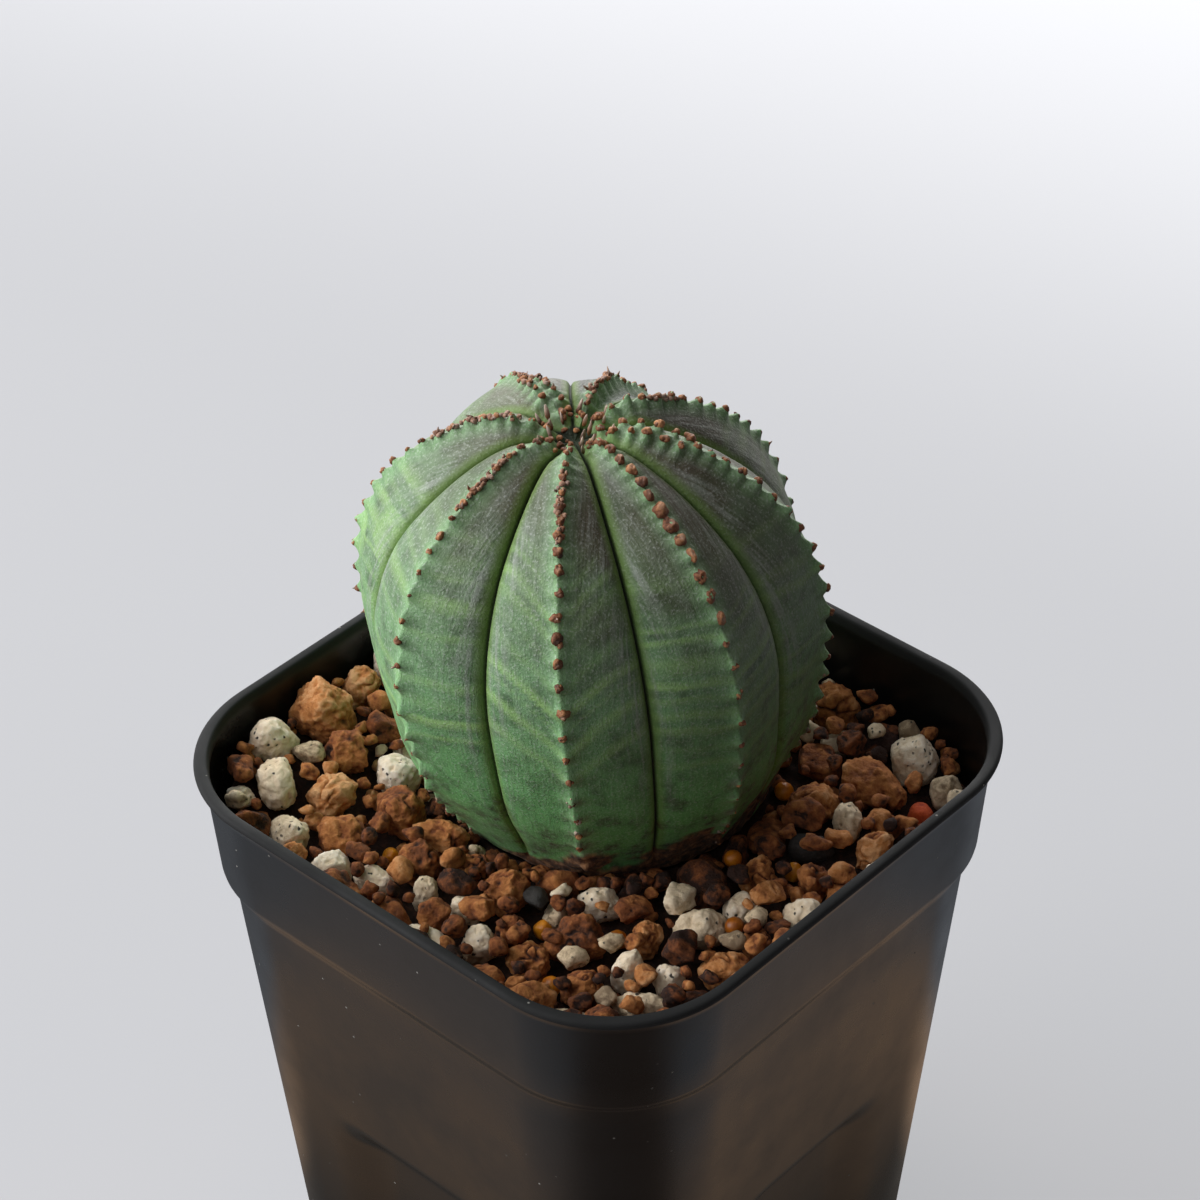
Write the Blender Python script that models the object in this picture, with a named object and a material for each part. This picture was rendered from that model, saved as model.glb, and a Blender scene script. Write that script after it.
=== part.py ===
"""Potted baseball plant: a ribbed ball of a succulent seated in grit in a square plastic pot.

Metres, +Z up.  The origin is the middle of the pot's underside, and the pot's sides run along X and Y.
Lengths below are in millimetres; mm() turns them into metres.
"""
import math

import bmesh
import bpy
import numpy as np
from mathutils import Vector

# ---- driving dimensions (mm) ----
POT_HEIGHT = 105.0
LIP_HALF = 45.0              # half the width across the lip
LIP_CORNER = 20.05           # corner radius of the lip
LIP_DEPTH = 1.2
BAND_HALF = 44.1             # the plain band under the lip, carried up to the lip's height
BAND_CORNER = 19.8
BAND_DEPTH = 17.5
BODY_HALF = 43.45            # the body under the band, carried up to the same height
BODY_CORNER_SHARE = 0.465    # the body's corner radius as a share of its half width
BODY_TOP_DEPTH = 21.0
STEP_DEPTH = 1.6             # the band's foot draws in to the body over this depth
TAPER = 0.08                 # how far each side draws in per mm of depth
WALL = 0.8
FLOOR = 1.3
RECESS_EDGE = 16.2           # half width of the sunk panel in each side
RECESS_FLAT = 8.0            # half width of its flat middle
RECESS_TOP = 53.0            # depth at which the panel starts
RECESS_SLOPE = 4.5           # length of its sloped head
RECESS_SINK = 2.6
DRAIN_RADIUS = 4.0
DRAIN_SPREAD = 17.0
CORNER_STEPS = 8
GAP = 0.3                    # running gap kept between touching meshes

BED_DEPTH = 14.0             # depth of the grit bed's top under the lip, on the right
BED_HEAP = 4.5               # how much higher the grit is heaped at the left wall
HEAP_START = 22.0
HEAP_END = 40.0
BED_EASE = 0.15              # the heap is faceted, so stones rest this much higher
SOCKET_EASE = 0.25           # and so is the socket, which is this much wider
THROAT_DROP = 1.2            # how far the socket's second ring lies under its mouth

RIB_ANGLES = (-53.7, -10.7, 33.0, 74.2, 111.0, 157.7, 213.3, 263.7)   # degrees from +X
# each rib's share of the crest's radius
RIB_SIZES = (1.0, 1.0, 1.0, 1.0, 0.985, 0.98, 0.985, 1.025)
PLANT_X = -6.05
PLANT_Y = 8.3
LEAN_X = 0.029               # sideways drift per mm of height above the soil
LEAN_Y = -0.125
SOIL_LINE = -13.0            # height of the soil line against the lip
EVEN_HEIGHT = 14.0           # height above the soil at which the ribs reach their own sizes
# crest of a rib as (distance from the stem's axis, height against the lip), crown first
CREST = ((3.0, 48.6), (9.0, 50.4), (17.9, 46.7), (25.5, 40.1), (30.2, 31.0), (31.8, 21.0),
         (30.9, 10.9), (29.1, 0.7), (25.4, -7.8), (23.0, -13.0))
ROOT = ((17.0, -17.6), (8.0, -21.6), (4.6, -30.0), (2.4, -42.0))
CROWN_FLOOR = 47.6
# groove depth (mm) along the same crest points, crown first
GROOVE = (0.6, 1.4, 2.4, 3.0, 2.9, 2.5, 1.9, 1.3, 0.7, 0.0)
FLANK_SHARE = 0.72           # part of the groove's depth given by the flat flanks, not the sharp fold
TEETH = 22                   # scars of old flower stalks down each rib
TOOTH_REACH = 0.9
SIDES_PER_RIB = 6

# stones on the surface: kind, x, y, length, width, height, turn (degrees)
STONES = (
    ("pumice", -38.7, -24.8, 7.2, 6.2, 6.6, 40), ("akadama", -37.9, -15.7, 9.4, 8.0, 7.8, 20),
    ("akadama", -38.8, -7.5, 5.6, 6.0, 6.0, 70), ("pumice", -38.2, -0.6, 6.4, 6.8, 6.4, 10),
    ("akadama", -30.9, -18.9, 6.8, 6.0, 6.0, 35), ("pumice", -32.8, -30.2, 8.4, 5.2, 5.6, -35),
    ("pumice", -35.1, -34.8, 4.2, 3.2, 3.4, 15), ("akadama", -26.9, -25.4, 7.0, 5.4, 5.6, 60),
    ("pumice", -24.1, -15.1, 6.6, 5.8, 5.6, 40), ("akadama", -18.9, -20.8, 7.2, 6.4, 6.6, 15),
    ("akadama", -21.0, -29.1, 6.8, 6.0, 5.8, 75), ("pumice", -26.0, -34.8, 5.8, 5.0, 5.2, 30),
    ("pumice", -17.9, -35.1, 6.0, 4.8, 5.0, 55), ("akadama", -11.6, -19.9, 7.6, 5.0, 5.2, 30),
    ("akadama", -9.5, -25.7, 6.0, 5.4, 5.6, 80), ("pumice", -12.0, -32.0, 5.4, 4.6, 4.4, 20),
    ("prill", -14.6, -26.3, 2.9, 2.7, 2.8, 0), ("pumice", -4.8, -29.7, 3.4, 3.2, 5.4, 40),
    ("akadama", -3.7, -21.0, 4.8, 4.4, 4.2, 25), ("pumice", 3.0, -36.4, 9.2, 4.4, 4.4, 0),
    ("pumice", 7.2, -31.8, 4.8, 4.4, 5.0, 50), ("pumice", 1.1, -27.8, 4.4, 4.0, 4.0, 10),
    ("akadama", 2.9, -22.0, 6.2, 5.4, 5.6, 65), ("akadama", 8.4, -26.9, 4.8, 4.4, 4.6, 35),
    ("prill", 10.9, -23.3, 2.9, 2.8, 2.9, 0), ("akadama", 16.4, -22.9, 8.2, 6.6, 6.4, 42),
    ("akadama", 14.2, -29.5, 6.2, 4.6, 4.6, 20), ("akadama", 17.0, -34.7, 4.8, 4.4, 4.4, 60),
    ("prill", 19.0, -30.4, 2.9, 2.8, 2.8, 0), ("akadama", 22.9, -28.6, 5.4, 5.0, 5.0, 10),
    ("pumice", 13.6, -15.2, 5.8, 4.4, 4.8, 38), ("akadama", 23.1, -16.3, 4.4, 5.6, 5.4, 30),
    ("prill", 19.6, -18.1, 2.9, 2.8, 2.8, 0), ("pumice", 27.1, -10.4, 7.6, 5.2, 5.2, 50),
    ("pumice", 25.7, -22.7, 4.4, 4.8, 5.8, 20), ("pumice", 30.4, -20.3, 4.6, 4.2, 4.8, 70),
    ("pumice", 31.0, -26.5, 8.2, 4.0, 4.2, 43), ("pumice", 25.3, -34.2, 6.6, 4.0, 3.6, 30),
    ("akadama", 35.0, -14.2, 6.8, 5.0, 4.8, 55), ("akadama", 34.6, -7.1, 4.4, 4.2, 4.2, 15),
    ("pumice", 28.5, -3.7, 4.8, 4.4, 4.6, 80), ("pumice", 36.5, -0.2, 5.8, 5.2, 6.0, 25),
    ("akadama", 26.1, 2.9, 5.2, 5.0, 5.4, 45), ("prill", 28.5, 7.6, 2.9, 2.8, 2.9, 0),
    ("akadama", 32.8, 6.6, 4.4, 4.6, 5.4, 30), ("prill", 33.6, 11.9, 2.9, 2.8, 2.8, 0),
    ("charcoal", 27.4, 12.4, 6.6, 4.2, 4.2, 43), ("pumice", 28.8, 18.9, 4.2, 5.2, 5.6, 50),
    ("akadama", 22.2, 19.4, 7.0, 5.2, 5.2, 30), ("akadama", 34.6, 17.5, 4.8, 5.6, 5.4, 20),
    ("akadama", 26.8, 27.2, 10.4, 6.8, 6.4, 4), ("akadama", 11.4, 36.5, 8.6, 6.8, 6.8, 15),
    ("pumice", 27.5, 35.1, 6.2, 7.4, 7.2, 65), ("pumice", 34.7, 32.9, 4.6, 4.8, 5.4, 20),
    ("scoria", 35.1, 27.3, 4.2, 4.0, 4.2, 0), ("akadama", -28.6, 29.5, 7.2, 6.4, 6.2, 35),
    ("pumice", -12.3, 35.7, 6.6, 5.6, 5.6, 15),
)

COLOURS = {                  # linear base colour, roughness
    "pot": ((0.012, 0.012, 0.013), 0.34),
    "plant": ((0.105, 0.185, 0.085), 0.55),
    "soil": ((0.060, 0.030, 0.016), 0.95),
    "akadama": ((0.190, 0.075, 0.033), 0.95),
    "pumice": ((0.620, 0.560, 0.440), 0.90),
    "prill": ((0.520, 0.170, 0.020), 0.35),
    "scoria": ((0.420, 0.090, 0.025), 0.85),
    "charcoal": ((0.035, 0.032, 0.030), 0.80),
}


def mm(value):
    return value * 0.001


def clear_scene():
    for item in list(bpy.data.objects):
        bpy.data.objects.remove(item, do_unlink=True)


def finish_for(kind):
    """The shared material of one kind of stuff, made the first time it is asked for."""
    material = bpy.data.materials.get(kind)
    if material is None:
        colour, roughness = COLOURS[kind]
        material = bpy.data.materials.new(kind)
        material.use_nodes = True
        shader = material.node_tree.nodes["Principled BSDF"]
        shader.inputs["Base Color"].default_value = (*colour, 1.0)
        shader.inputs["Roughness"].default_value = roughness
        shader.inputs["Metallic"].default_value = 0.0
    return material


def add_object(name, bm, kind, location=(0.0, 0.0, 0.0), turn=0.0):
    bmesh.ops.recalc_face_normals(bm, faces=bm.faces)
    mesh = bpy.data.meshes.new(name)
    bm.to_mesh(mesh)
    bm.free()
    mesh.materials.append(finish_for(kind))
    item = bpy.data.objects.new(name, mesh)
    item.location = location
    item.rotation_euler = (0.0, 0.0, math.radians(turn))
    bpy.context.scene.collection.objects.link(item)
    return item


def ring_faces(bm, lower, upper):
    """Triangles between two closed rings of equal length.

    The diagonals always fall the same way, so that two shells with like rings stay evenly apart.
    """
    count = len(lower)
    for i in range(count):
        j = (i + 1) % count
        if lower[i].co.z > upper[i].co.z:
            bm.faces.new((lower[i], lower[j], upper[j]))
            bm.faces.new((lower[i], upper[j], upper[i]))
        else:
            bm.faces.new((lower[i], lower[j], upper[i]))
            bm.faces.new((lower[j], upper[j], upper[i]))


def add_ring(bm, points):
    return [bm.verts.new(Vector((mm(x), mm(y), mm(POT_HEIGHT + z)))) for x, y, z in points]


# ---- pot ----
def band_size(depth):
    """(half width, corner radius) of the tapered band at a depth under the lip."""
    return BAND_HALF - TAPER * depth, BAND_CORNER - TAPER * depth


def body_size(depth):
    """(half width, corner radius) of the tapered body at a depth under the lip."""
    half = BODY_HALF - TAPER * depth
    return half, BODY_CORNER_SHARE * half


def recess_sink(depth):
    return RECESS_SINK * min(max((depth - RECESS_TOP) / RECESS_SLOPE, 0.0), 1.0)


def square_outline(half, radius, sink, height):
    """One rounded square: four sides, each with its sunk panel, joined by quarter rounds."""
    points = []
    for side in range(4):
        angle = side * math.pi / 2
        along = Vector((-math.sin(angle), math.cos(angle)))
        out = Vector((math.cos(angle), math.sin(angle)))
        for shift, inset in ((-RECESS_EDGE, 0.0), (-RECESS_FLAT, sink),
                             (RECESS_FLAT, sink), (RECESS_EDGE, 0.0)):
            place = out * (half - inset) + along * shift
            points.append((place.x, place.y, height))
        centre = (out + along) * (half - radius)
        for step in range(CORNER_STEPS + 1):
            swing = angle + math.pi / 2 * step / CORNER_STEPS
            place = centre + Vector((math.cos(swing), math.sin(swing))) * radius
            points.append((place.x, place.y, height))
    return points


def wall_levels():
    """Depths of the rings below the band, from the step down to the floor."""
    return (BODY_TOP_DEPTH, RECESS_TOP, RECESS_TOP + RECESS_SLOPE)


def outer_rings():
    """The pot's outside from its foot up over the lip, as (half width, radius, sink, height)."""
    half, radius = body_size(POT_HEIGHT)
    rings = [(half - 0.8, radius - 0.8, RECESS_SINK, -POT_HEIGHT),
             (half, radius, RECESS_SINK, -POT_HEIGHT + 0.8)]
    for depth in reversed(wall_levels()):
        half, radius = body_size(depth)
        rings.append((half, radius, recess_sink(depth), -depth))
    half, radius = body_size(BAND_DEPTH + STEP_DEPTH)
    rings.append((half + 0.1, radius, 0.0, -BAND_DEPTH - STEP_DEPTH))
    for depth in (BAND_DEPTH, LIP_DEPTH + 0.3):
        half, radius = band_size(depth)
        rings.append((half, radius, 0.0, -depth))
    for pull, depth in ((0.4, LIP_DEPTH), (0.1, LIP_DEPTH - 0.25), (0.0, 0.6), (0.12, 0.2), (0.45, 0.0)):
        rings.append((LIP_HALF - pull, LIP_CORNER - pull, 0.0, -depth))
    return rings


def inner_rings(offset):
    """The pot's inside from the lip down to the floor, drawn in by an offset."""
    inward = WALL + offset
    half, radius = band_size(0.0)
    rings = [(half - inward + 0.45, radius - inward + 0.45, 0.0, 0.0),
             (half - inward + 0.1, radius - inward + 0.1, 0.0, -0.35)]
    for depth in (LIP_DEPTH + 0.3, BAND_DEPTH):
        half, radius = band_size(depth)
        rings.append((half - inward, radius - inward, 0.0, -depth))
    half, radius = body_size(BAND_DEPTH + STEP_DEPTH)
    rings.append((half + 0.1 - inward, radius - inward, 0.0, -BAND_DEPTH - STEP_DEPTH))
    for depth in wall_levels() + (POT_HEIGHT - FLOOR,):
        half, radius = body_size(depth)
        rings.append((half - inward, radius - inward, recess_sink(depth), -depth))
    return rings


def drain_cutter():
    """Five round holes through the floor, as one cutter."""
    bm = bmesh.new()
    places = [(0.0, 0.0)]
    for quarter in range(4):
        swing = math.pi / 4 + quarter * math.pi / 2
        places.append((DRAIN_SPREAD * math.cos(swing), DRAIN_SPREAD * math.sin(swing)))
    for x, y in places:
        made = bmesh.ops.create_cone(bm, cap_ends=True, segments=20, radius1=mm(DRAIN_RADIUS),
                                     radius2=mm(DRAIN_RADIUS), depth=mm(10.0))
        bmesh.ops.translate(bm, verts=made["verts"], vec=Vector((mm(x), mm(y), 0.0)))
    cutter = add_object("drain_cutter", bm, "pot")
    cutter.hide_render = True
    cutter.display_type = 'WIRE'
    return cutter


def build_pot():
    bm = bmesh.new()
    rings = outer_rings() + inner_rings(0.0)
    loops = [add_ring(bm, square_outline(half, radius, sink, z)) for half, radius, sink, z in rings]
    for lower, upper in zip(loops, loops[1:]):
        ring_faces(bm, lower, upper)
    bm.faces.new(list(reversed(loops[0])))
    bm.faces.new(loops[-1])
    pot = add_object("pot", bm, "pot")
    cut = pot.modifiers.new("drains", 'BOOLEAN')
    cut.operation = 'DIFFERENCE'
    cut.solver = 'EXACT'
    cut.object = drain_cutter()
    return pot


# ---- plant ----
def smooth_curve(points, spacing):
    """A Catmull-Rom curve through the points, read at about even spacing."""
    knots = [Vector(p) for p in points]
    knots = [knots[0] * 2 - knots[1]] + knots + [knots[-1] * 2 - knots[-2]]
    fine = []
    for a, b, c, d in zip(knots, knots[1:], knots[2:], knots[3:]):
        for step in range(12):
            t = step / 12
            fine.append(0.5 * ((b * 2) + (c - a) * t + (a * 2 - b * 5 + c * 4 - d) * t * t
                               + (b * 3 - a - c * 3 + d) * t ** 3))
    fine.append(knots[-2])
    lengths = [0.0]
    for a, b in zip(fine, fine[1:]):
        lengths.append(lengths[-1] + (b - a).length)
    count = max(2, round(lengths[-1] / spacing))
    marks = np.linspace(0.0, lengths[-1], count + 1)
    columns = [np.interp(marks, lengths, [p[k] for p in fine]) for k in range(len(points[0]))]
    return [Vector(row) for row in zip(*columns)]


def lean_at(height):
    """Sideways place of the stem's axis at a height against the lip."""
    rise = max(height - SOIL_LINE, 0.0)
    return PLANT_X + LEAN_X * rise, PLANT_Y + LEAN_Y * rise


def span_after(rib):
    """Degrees from one rib's crest to the next."""
    return (RIB_ANGLES[(rib + 1) % len(RIB_ANGLES)] - RIB_ANGLES[rib]) % 360.0


def size_at(rib, share, height):
    """How full the stem is between one rib and the next; it evens out towards the soil."""
    here = RIB_SIZES[rib]
    following = RIB_SIZES[(rib + 1) % len(RIB_SIZES)]
    fullness = here + (following - here) * share
    fade = min(max((height - SOIL_LINE) / EVEN_HEIGHT, 0.0), 1.0)
    return 1.0 + (fullness - 1.0) * fade


def crest_rows():
    """(radius, height, groove depth) down one crest, two rows to a tooth."""
    points = [(radius, height, groove) for (radius, height), groove in zip(CREST, GROOVE)]
    rough = smooth_curve(points, 1.0)
    length = sum((b - a).length for a, b in zip(rough, rough[1:]))
    return smooth_curve(points, length / (2 * TEETH))


def build_plant():
    bm = bmesh.new()
    rows = crest_rows()
    loops = []
    for number, row in enumerate(rows):
        radius, height, groove = row
        before = rows[max(number - 1, 0)]
        after = rows[min(number + 1, len(rows) - 1)]
        slope = Vector((after[0] - before[0], after[1] - before[1])).normalized()
        normal = Vector((-slope.y, slope.x))
        axis_x, axis_y = lean_at(height)
        tooth = TOOTH_REACH if number % 2 == 1 and number < len(rows) - 3 else 0.0
        points = []
        for rib, angle in enumerate(RIB_ANGLES):
            for step in range(SIDES_PER_RIB):
                share = step / SIDES_PER_RIB
                away = 1.0 - abs(2.0 * share - 1.0)
                sink = groove * (FLANK_SHARE * away ** 1.2 + (1.0 - FLANK_SHARE) * away ** 8)
                reach = (tooth if step == 0 else 0.0) - sink
                distance = radius * size_at(rib, share, height) + normal.x * reach
                swing = math.radians(angle + span_after(rib) * share)
                points.append((axis_x + distance * math.cos(swing), axis_y + distance * math.sin(swing),
                               height + normal.y * reach))
        loops.append(add_ring(bm, points))
    for radius, height in smooth_curve(CREST[-1:] + ROOT, 4.0)[1:]:
        points = []
        for rib, angle in enumerate(RIB_ANGLES):
            for step in range(SIDES_PER_RIB):
                swing = math.radians(angle + span_after(rib) * step / SIDES_PER_RIB)
                points.append((PLANT_X + radius * math.cos(swing),
                               PLANT_Y + radius * math.sin(swing), height))
        loops.append(add_ring(bm, points))
    for upper, lower in zip(loops, loops[1:]):
        ring_faces(bm, lower, upper)
    crown_x, crown_y = lean_at(CROWN_FLOOR)
    tip = bm.verts.new(Vector((mm(crown_x), mm(crown_y), mm(POT_HEIGHT + CROWN_FLOOR))))
    for i, vert in enumerate(loops[0]):
        bm.faces.new((vert, loops[0][(i + 1) % len(loops[0])], tip))
    bm.faces.new(loops[-1])
    return add_object("plant", bm, "plant")


# ---- grit ----
def bed_height(x):
    """Height of the grit bed's top against the lip: level, then heaped towards the left wall."""
    share = min(max((-x - HEAP_START) / (HEAP_END - HEAP_START), 0.0), 1.0)
    return -BED_DEPTH + BED_HEAP * share * share * (3.0 - 2.0 * share)


def stem_radius(height):
    """The stem's radius near the soil line, foot and root included."""
    outline = smooth_curve(CREST[-3:] + ROOT, 1.0)
    return float(np.interp(-height, [-h for _, h in outline], [r for r, _ in outline]))


def build_soil_bed():
    """The body of grit that fills the pot, with a socket for the stem's foot and root."""
    bm = bmesh.new()
    rings = [ring for ring in inner_rings(GAP) if ring[3] < -BED_DEPTH]
    half, radius, sink, z = rings[-1]
    rings[-1] = (half, radius, sink, z + GAP)
    rings.reverse()
    outlines = [square_outline(*ring) for ring in rings]
    edge = square_outline(rings[-1][0], rings[-1][1], 0.0, 0.0)
    outlines.append([(x, y, bed_height(x)) for x, y, _ in edge])
    count = len(edge)
    start = math.atan2(edge[0][1] - PLANT_Y, edge[0][0] - PLANT_X)
    swings = [start + 2 * math.pi * i / count for i in range(count)]
    mouth = []
    throat = []
    for swing in swings:
        level = bed_height(PLANT_X + stem_radius(-BED_DEPTH) * math.cos(swing))
        for ring, drop in ((mouth, 0.0), (throat, THROAT_DROP)):
            wide = stem_radius(level - drop) + GAP + SOCKET_EASE
            ring.append((PLANT_X + wide * math.cos(swing), PLANT_Y + wide * math.sin(swing), level - drop))
    for share in (0.33, 0.67):
        ring = []
        for (x, y, _), (u, v, _) in zip(edge, mouth):
            px = x + (u - x) * share
            ring.append((px, y + (v - y) * share, bed_height(px)))
        outlines.append(ring)
    outlines += [mouth, throat]
    for radius, height in smooth_curve(CREST[-1:] + ROOT, 4.0):
        if height > -BED_DEPTH - THROAT_DROP - GAP:
            continue
        wide = radius + GAP + SOCKET_EASE
        low = height - GAP
        outlines.append([(PLANT_X + wide * math.cos(s), PLANT_Y + wide * math.sin(s), low) for s in swings])
    loops = [add_ring(bm, outline) for outline in outlines]
    for lower, upper in zip(loops, loops[1:]):
        ring_faces(bm, lower, upper)
    bm.faces.new(list(reversed(loops[0])))
    bm.faces.new(loops[-1])
    return add_object("soil_bed", bm, "soil")


def build_stone(name, kind, number, place, size, turn):
    """A rough stone: the hull of scattered points on an ovoid, flattened where it rests."""
    dice = np.random.RandomState(400 + number)
    count = 18 if kind == "prill" else 26
    roughness = 0.03 if kind == "prill" else 0.14
    golden = math.pi * (3.0 - math.sqrt(5.0))
    cloud = []
    for i in range(count):
        z = 1.0 - 2.0 * (i + 0.5) / count
        flat = math.sqrt(1.0 - z * z)
        swing = golden * i + dice.uniform(-0.3, 0.3)
        reach = 1.0 - dice.uniform(0.0, roughness) * 2.0
        cloud.append(Vector((flat * math.cos(swing), flat * math.sin(swing), max(z, -0.72))) * reach)
    lowest = min(p.z for p in cloud)
    for p in cloud:
        if p.z < lowest + 0.22:
            p.z = lowest
    spans = [(min(p[k] for p in cloud), max(p[k] for p in cloud)) for k in range(3)]
    bm = bmesh.new()
    for p in cloud:
        scaled = [(p[k] - sum(spans[k]) / 2) / (spans[k][1] - spans[k][0]) * mm(size[k]) for k in range(3)]
        bm.verts.new(Vector(scaled))
    hull = bmesh.ops.convex_hull(bm, input=bm.verts)
    spare = hull["geom_interior"] + hull["geom_unused"]
    loose = {item for item in spare if isinstance(item, bmesh.types.BMVert)}
    bmesh.ops.delete(bm, geom=list(loose), context='VERTS')
    x, y = place
    rest = max(bed_height(x + dx) for dx in (-size[0] / 2, 0.0, size[0] / 2)) + GAP + BED_EASE
    centre = (mm(x), mm(y), mm(POT_HEIGHT + rest + size[2] / 2))
    return add_object(name, bm, kind, centre, turn)


def build_stones():
    tally = {}
    for number, (kind, x, y, length, width, height, turn) in enumerate(STONES):
        tally[kind] = tally.get(kind, 0) + 1
        name = f"{kind}_{tally[kind]:02d}"
        build_stone(name, kind, number, (x, y), (length, width, height), turn)


clear_scene()
build_pot()
build_plant()
build_soil_bed()
build_stones()
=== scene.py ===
import math
from functools import partial
from types import SimpleNamespace

import bmesh
import bpy
import numpy as np
from mathutils import Matrix, Vector


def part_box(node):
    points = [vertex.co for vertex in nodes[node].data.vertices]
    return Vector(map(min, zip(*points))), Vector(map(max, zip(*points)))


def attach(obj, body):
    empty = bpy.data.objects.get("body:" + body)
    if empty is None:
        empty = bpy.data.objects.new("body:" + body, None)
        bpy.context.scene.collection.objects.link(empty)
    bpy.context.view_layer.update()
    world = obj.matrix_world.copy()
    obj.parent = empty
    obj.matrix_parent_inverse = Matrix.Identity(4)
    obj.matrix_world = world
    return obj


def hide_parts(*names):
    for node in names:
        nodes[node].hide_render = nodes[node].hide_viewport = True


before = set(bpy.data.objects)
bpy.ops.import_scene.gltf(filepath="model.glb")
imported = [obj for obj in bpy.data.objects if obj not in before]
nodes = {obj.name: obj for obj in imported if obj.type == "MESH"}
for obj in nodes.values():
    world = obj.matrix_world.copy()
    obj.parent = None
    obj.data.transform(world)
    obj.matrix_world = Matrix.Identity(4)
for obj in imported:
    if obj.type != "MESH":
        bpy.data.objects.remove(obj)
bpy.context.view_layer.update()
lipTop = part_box("pot")[1].z * 1000     # mm; heights below are counted from the lip unless they say otherwise


def toLinear(hexColour):
    parts = [int(hexColour[i:i + 2], 16) / 255 for i in (1, 3, 5)]
    return tuple(p / 12.92 if p <= 0.04045 else ((p + 0.055) / 1.055) ** 2.4 for p in parts) + (1.0,)


# texture scale, in metres, of a pattern whose parts are this many mm apart
def perMm(size):
    return 1000.0 / size


# sets a node's properties, colour stops and inputs, by name or number; a socket as a value is linked
def setNode(node, settings):
    for key, value in settings.items():
        if isinstance(key, str) and key not in node.inputs and key != "stops":
            setattr(node, key, value)
    for key, value in settings.items():
        if key == "stops":
            ramp = node.color_ramp
            while len(ramp.elements) < len(value):
                ramp.elements.new(0.5)
            for element, (place, colour) in zip(ramp.elements, value):
                element.position = place
                element.color = toLinear(colour) if isinstance(colour, str) else (colour, colour, colour, 1.0)
        elif isinstance(value, bpy.types.NodeSocket):
            node.id_data.links.new(value, node.inputs[key])
        elif isinstance(key, int) or key in node.inputs:
            node.inputs[key].default_value = toLinear(value) if isinstance(value, str) else value


# adds a shader node with its settings and links, and returns its output called out
def addNode(tree, kind, settings=None, out=0):
    node = tree.nodes.new("ShaderNode" + kind)
    setNode(node, settings or {})
    return node.outputs[out]


# a material, the call that adds nodes to it, and its surface shader
def newMaterial(name):
    material = bpy.data.materials.new(name)
    material.use_nodes = True
    return material, partial(addNode, material.node_tree), material.node_tree.nodes["Principled BSDF"]


# smooth random field between about -1 and 1, whose lumps are one size across
def softNoise(points, size, seed):
    table = np.random.RandomState(seed).uniform(-1.0, 1.0, (32, 32, 32))
    spot = np.asarray(points) / size
    base = np.floor(spot).astype(int)
    part = spot - base
    part = part * part * (3.0 - 2.0 * part)
    total = np.zeros(spot.shape[:-1])
    for corner in np.ndindex(2, 2, 2):
        weight = np.where(corner, part, 1 - part)
        cell = (base + corner) & 31
        total += (weight[..., 0] * weight[..., 1] * weight[..., 2]
                  * table[cell[..., 0], cell[..., 1], cell[..., 2]])
    return total


# several fields added up: (share, lump size, seed) of each
def layeredNoise(points, layers):
    return sum(share * softNoise(points, size, seed) for share, size, seed in layers)


# 1 in the middle of scattered round pits, falling to 0 at their rims
def pitField(points, size, seed, share=0.45):
    table = np.random.RandomState(seed).uniform(0.0, 1.0, (16, 16, 16, 3))
    spot = points / size
    base = np.floor(spot).astype(int)
    nearest = np.full(len(points), 9.0)
    for step in np.ndindex(3, 3, 3):
        cell = base + step - 1
        middle = cell + table[cell[:, 0] & 15, cell[:, 1] & 15, cell[:, 2] & 15]
        nearest = np.minimum(nearest, np.linalg.norm(spot - middle, axis=1))
    return np.clip(1.0 - nearest / share, 0.0, 1.0)


def smoothStep(value, low, high):
    share = np.clip((value - low) / (high - low), 0.0, 1.0)
    return share * share * (3.0 - 2.0 * share)


# a mesh object from points in mm, with plain number fields kept on its points for the material to read
def meshObject(name, points, faces, material, slot, fields=None):
    mesh = bpy.data.meshes.new(name)
    mesh.from_pydata((np.asarray(points) * 0.001).tolist(), [], [list(map(int, face)) for face in faces])
    mesh.validate()
    for key, values in (fields or {}).items():
        field = mesh.attributes.new(key, "FLOAT", "POINT")
        field.data.foreach_set("value", np.asarray(values, float).ravel())
    mesh.shade_smooth()
    mesh.materials.append(material)
    piece = bpy.data.objects.new(name, mesh)
    bpy.context.scene.collection.objects.link(piece)
    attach(piece, "root")
    return piece


# four-cornered faces between closed rings of points, each ring one row of the index
def facesBetween(count, wide):
    index = np.arange(count * wide).reshape(count, wide)
    following = np.roll(index, -1, axis=1)
    faces = np.stack([index[:-1], following[:-1], following[1:], index[1:]], axis=-1)
    return index, faces.reshape(-1, 4)


def ballTemplate(level):
    bm = bmesh.new()
    bmesh.ops.create_icosphere(bm, subdivisions=level, radius=1.0)
    bm.verts.ensure_lookup_table()
    points = np.array([v.co[:] for v in bm.verts])
    faces = np.array([[v.index for v in f.verts] for f in bm.faces])
    bm.free()
    return points, faces


fineBall = ballTemplate(5)             # 5120 faces
mediumBall = ballTemplate(4)           # 1280 faces
smallBall = ballTemplate(3)            # 320 faces
crumbBall = ballTemplate(2)            # 80 faces


viewpoint = {
    "place": (0.25804, -0.28048, 0.42330),   # metres
    "azimuth": 42.555,                    # degrees round from looking along +Y
    "elevation": 37.646,
    "roll": -0.759,
    "lens": 108.96,                       # mm, on a 36 mm sensor
}


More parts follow.
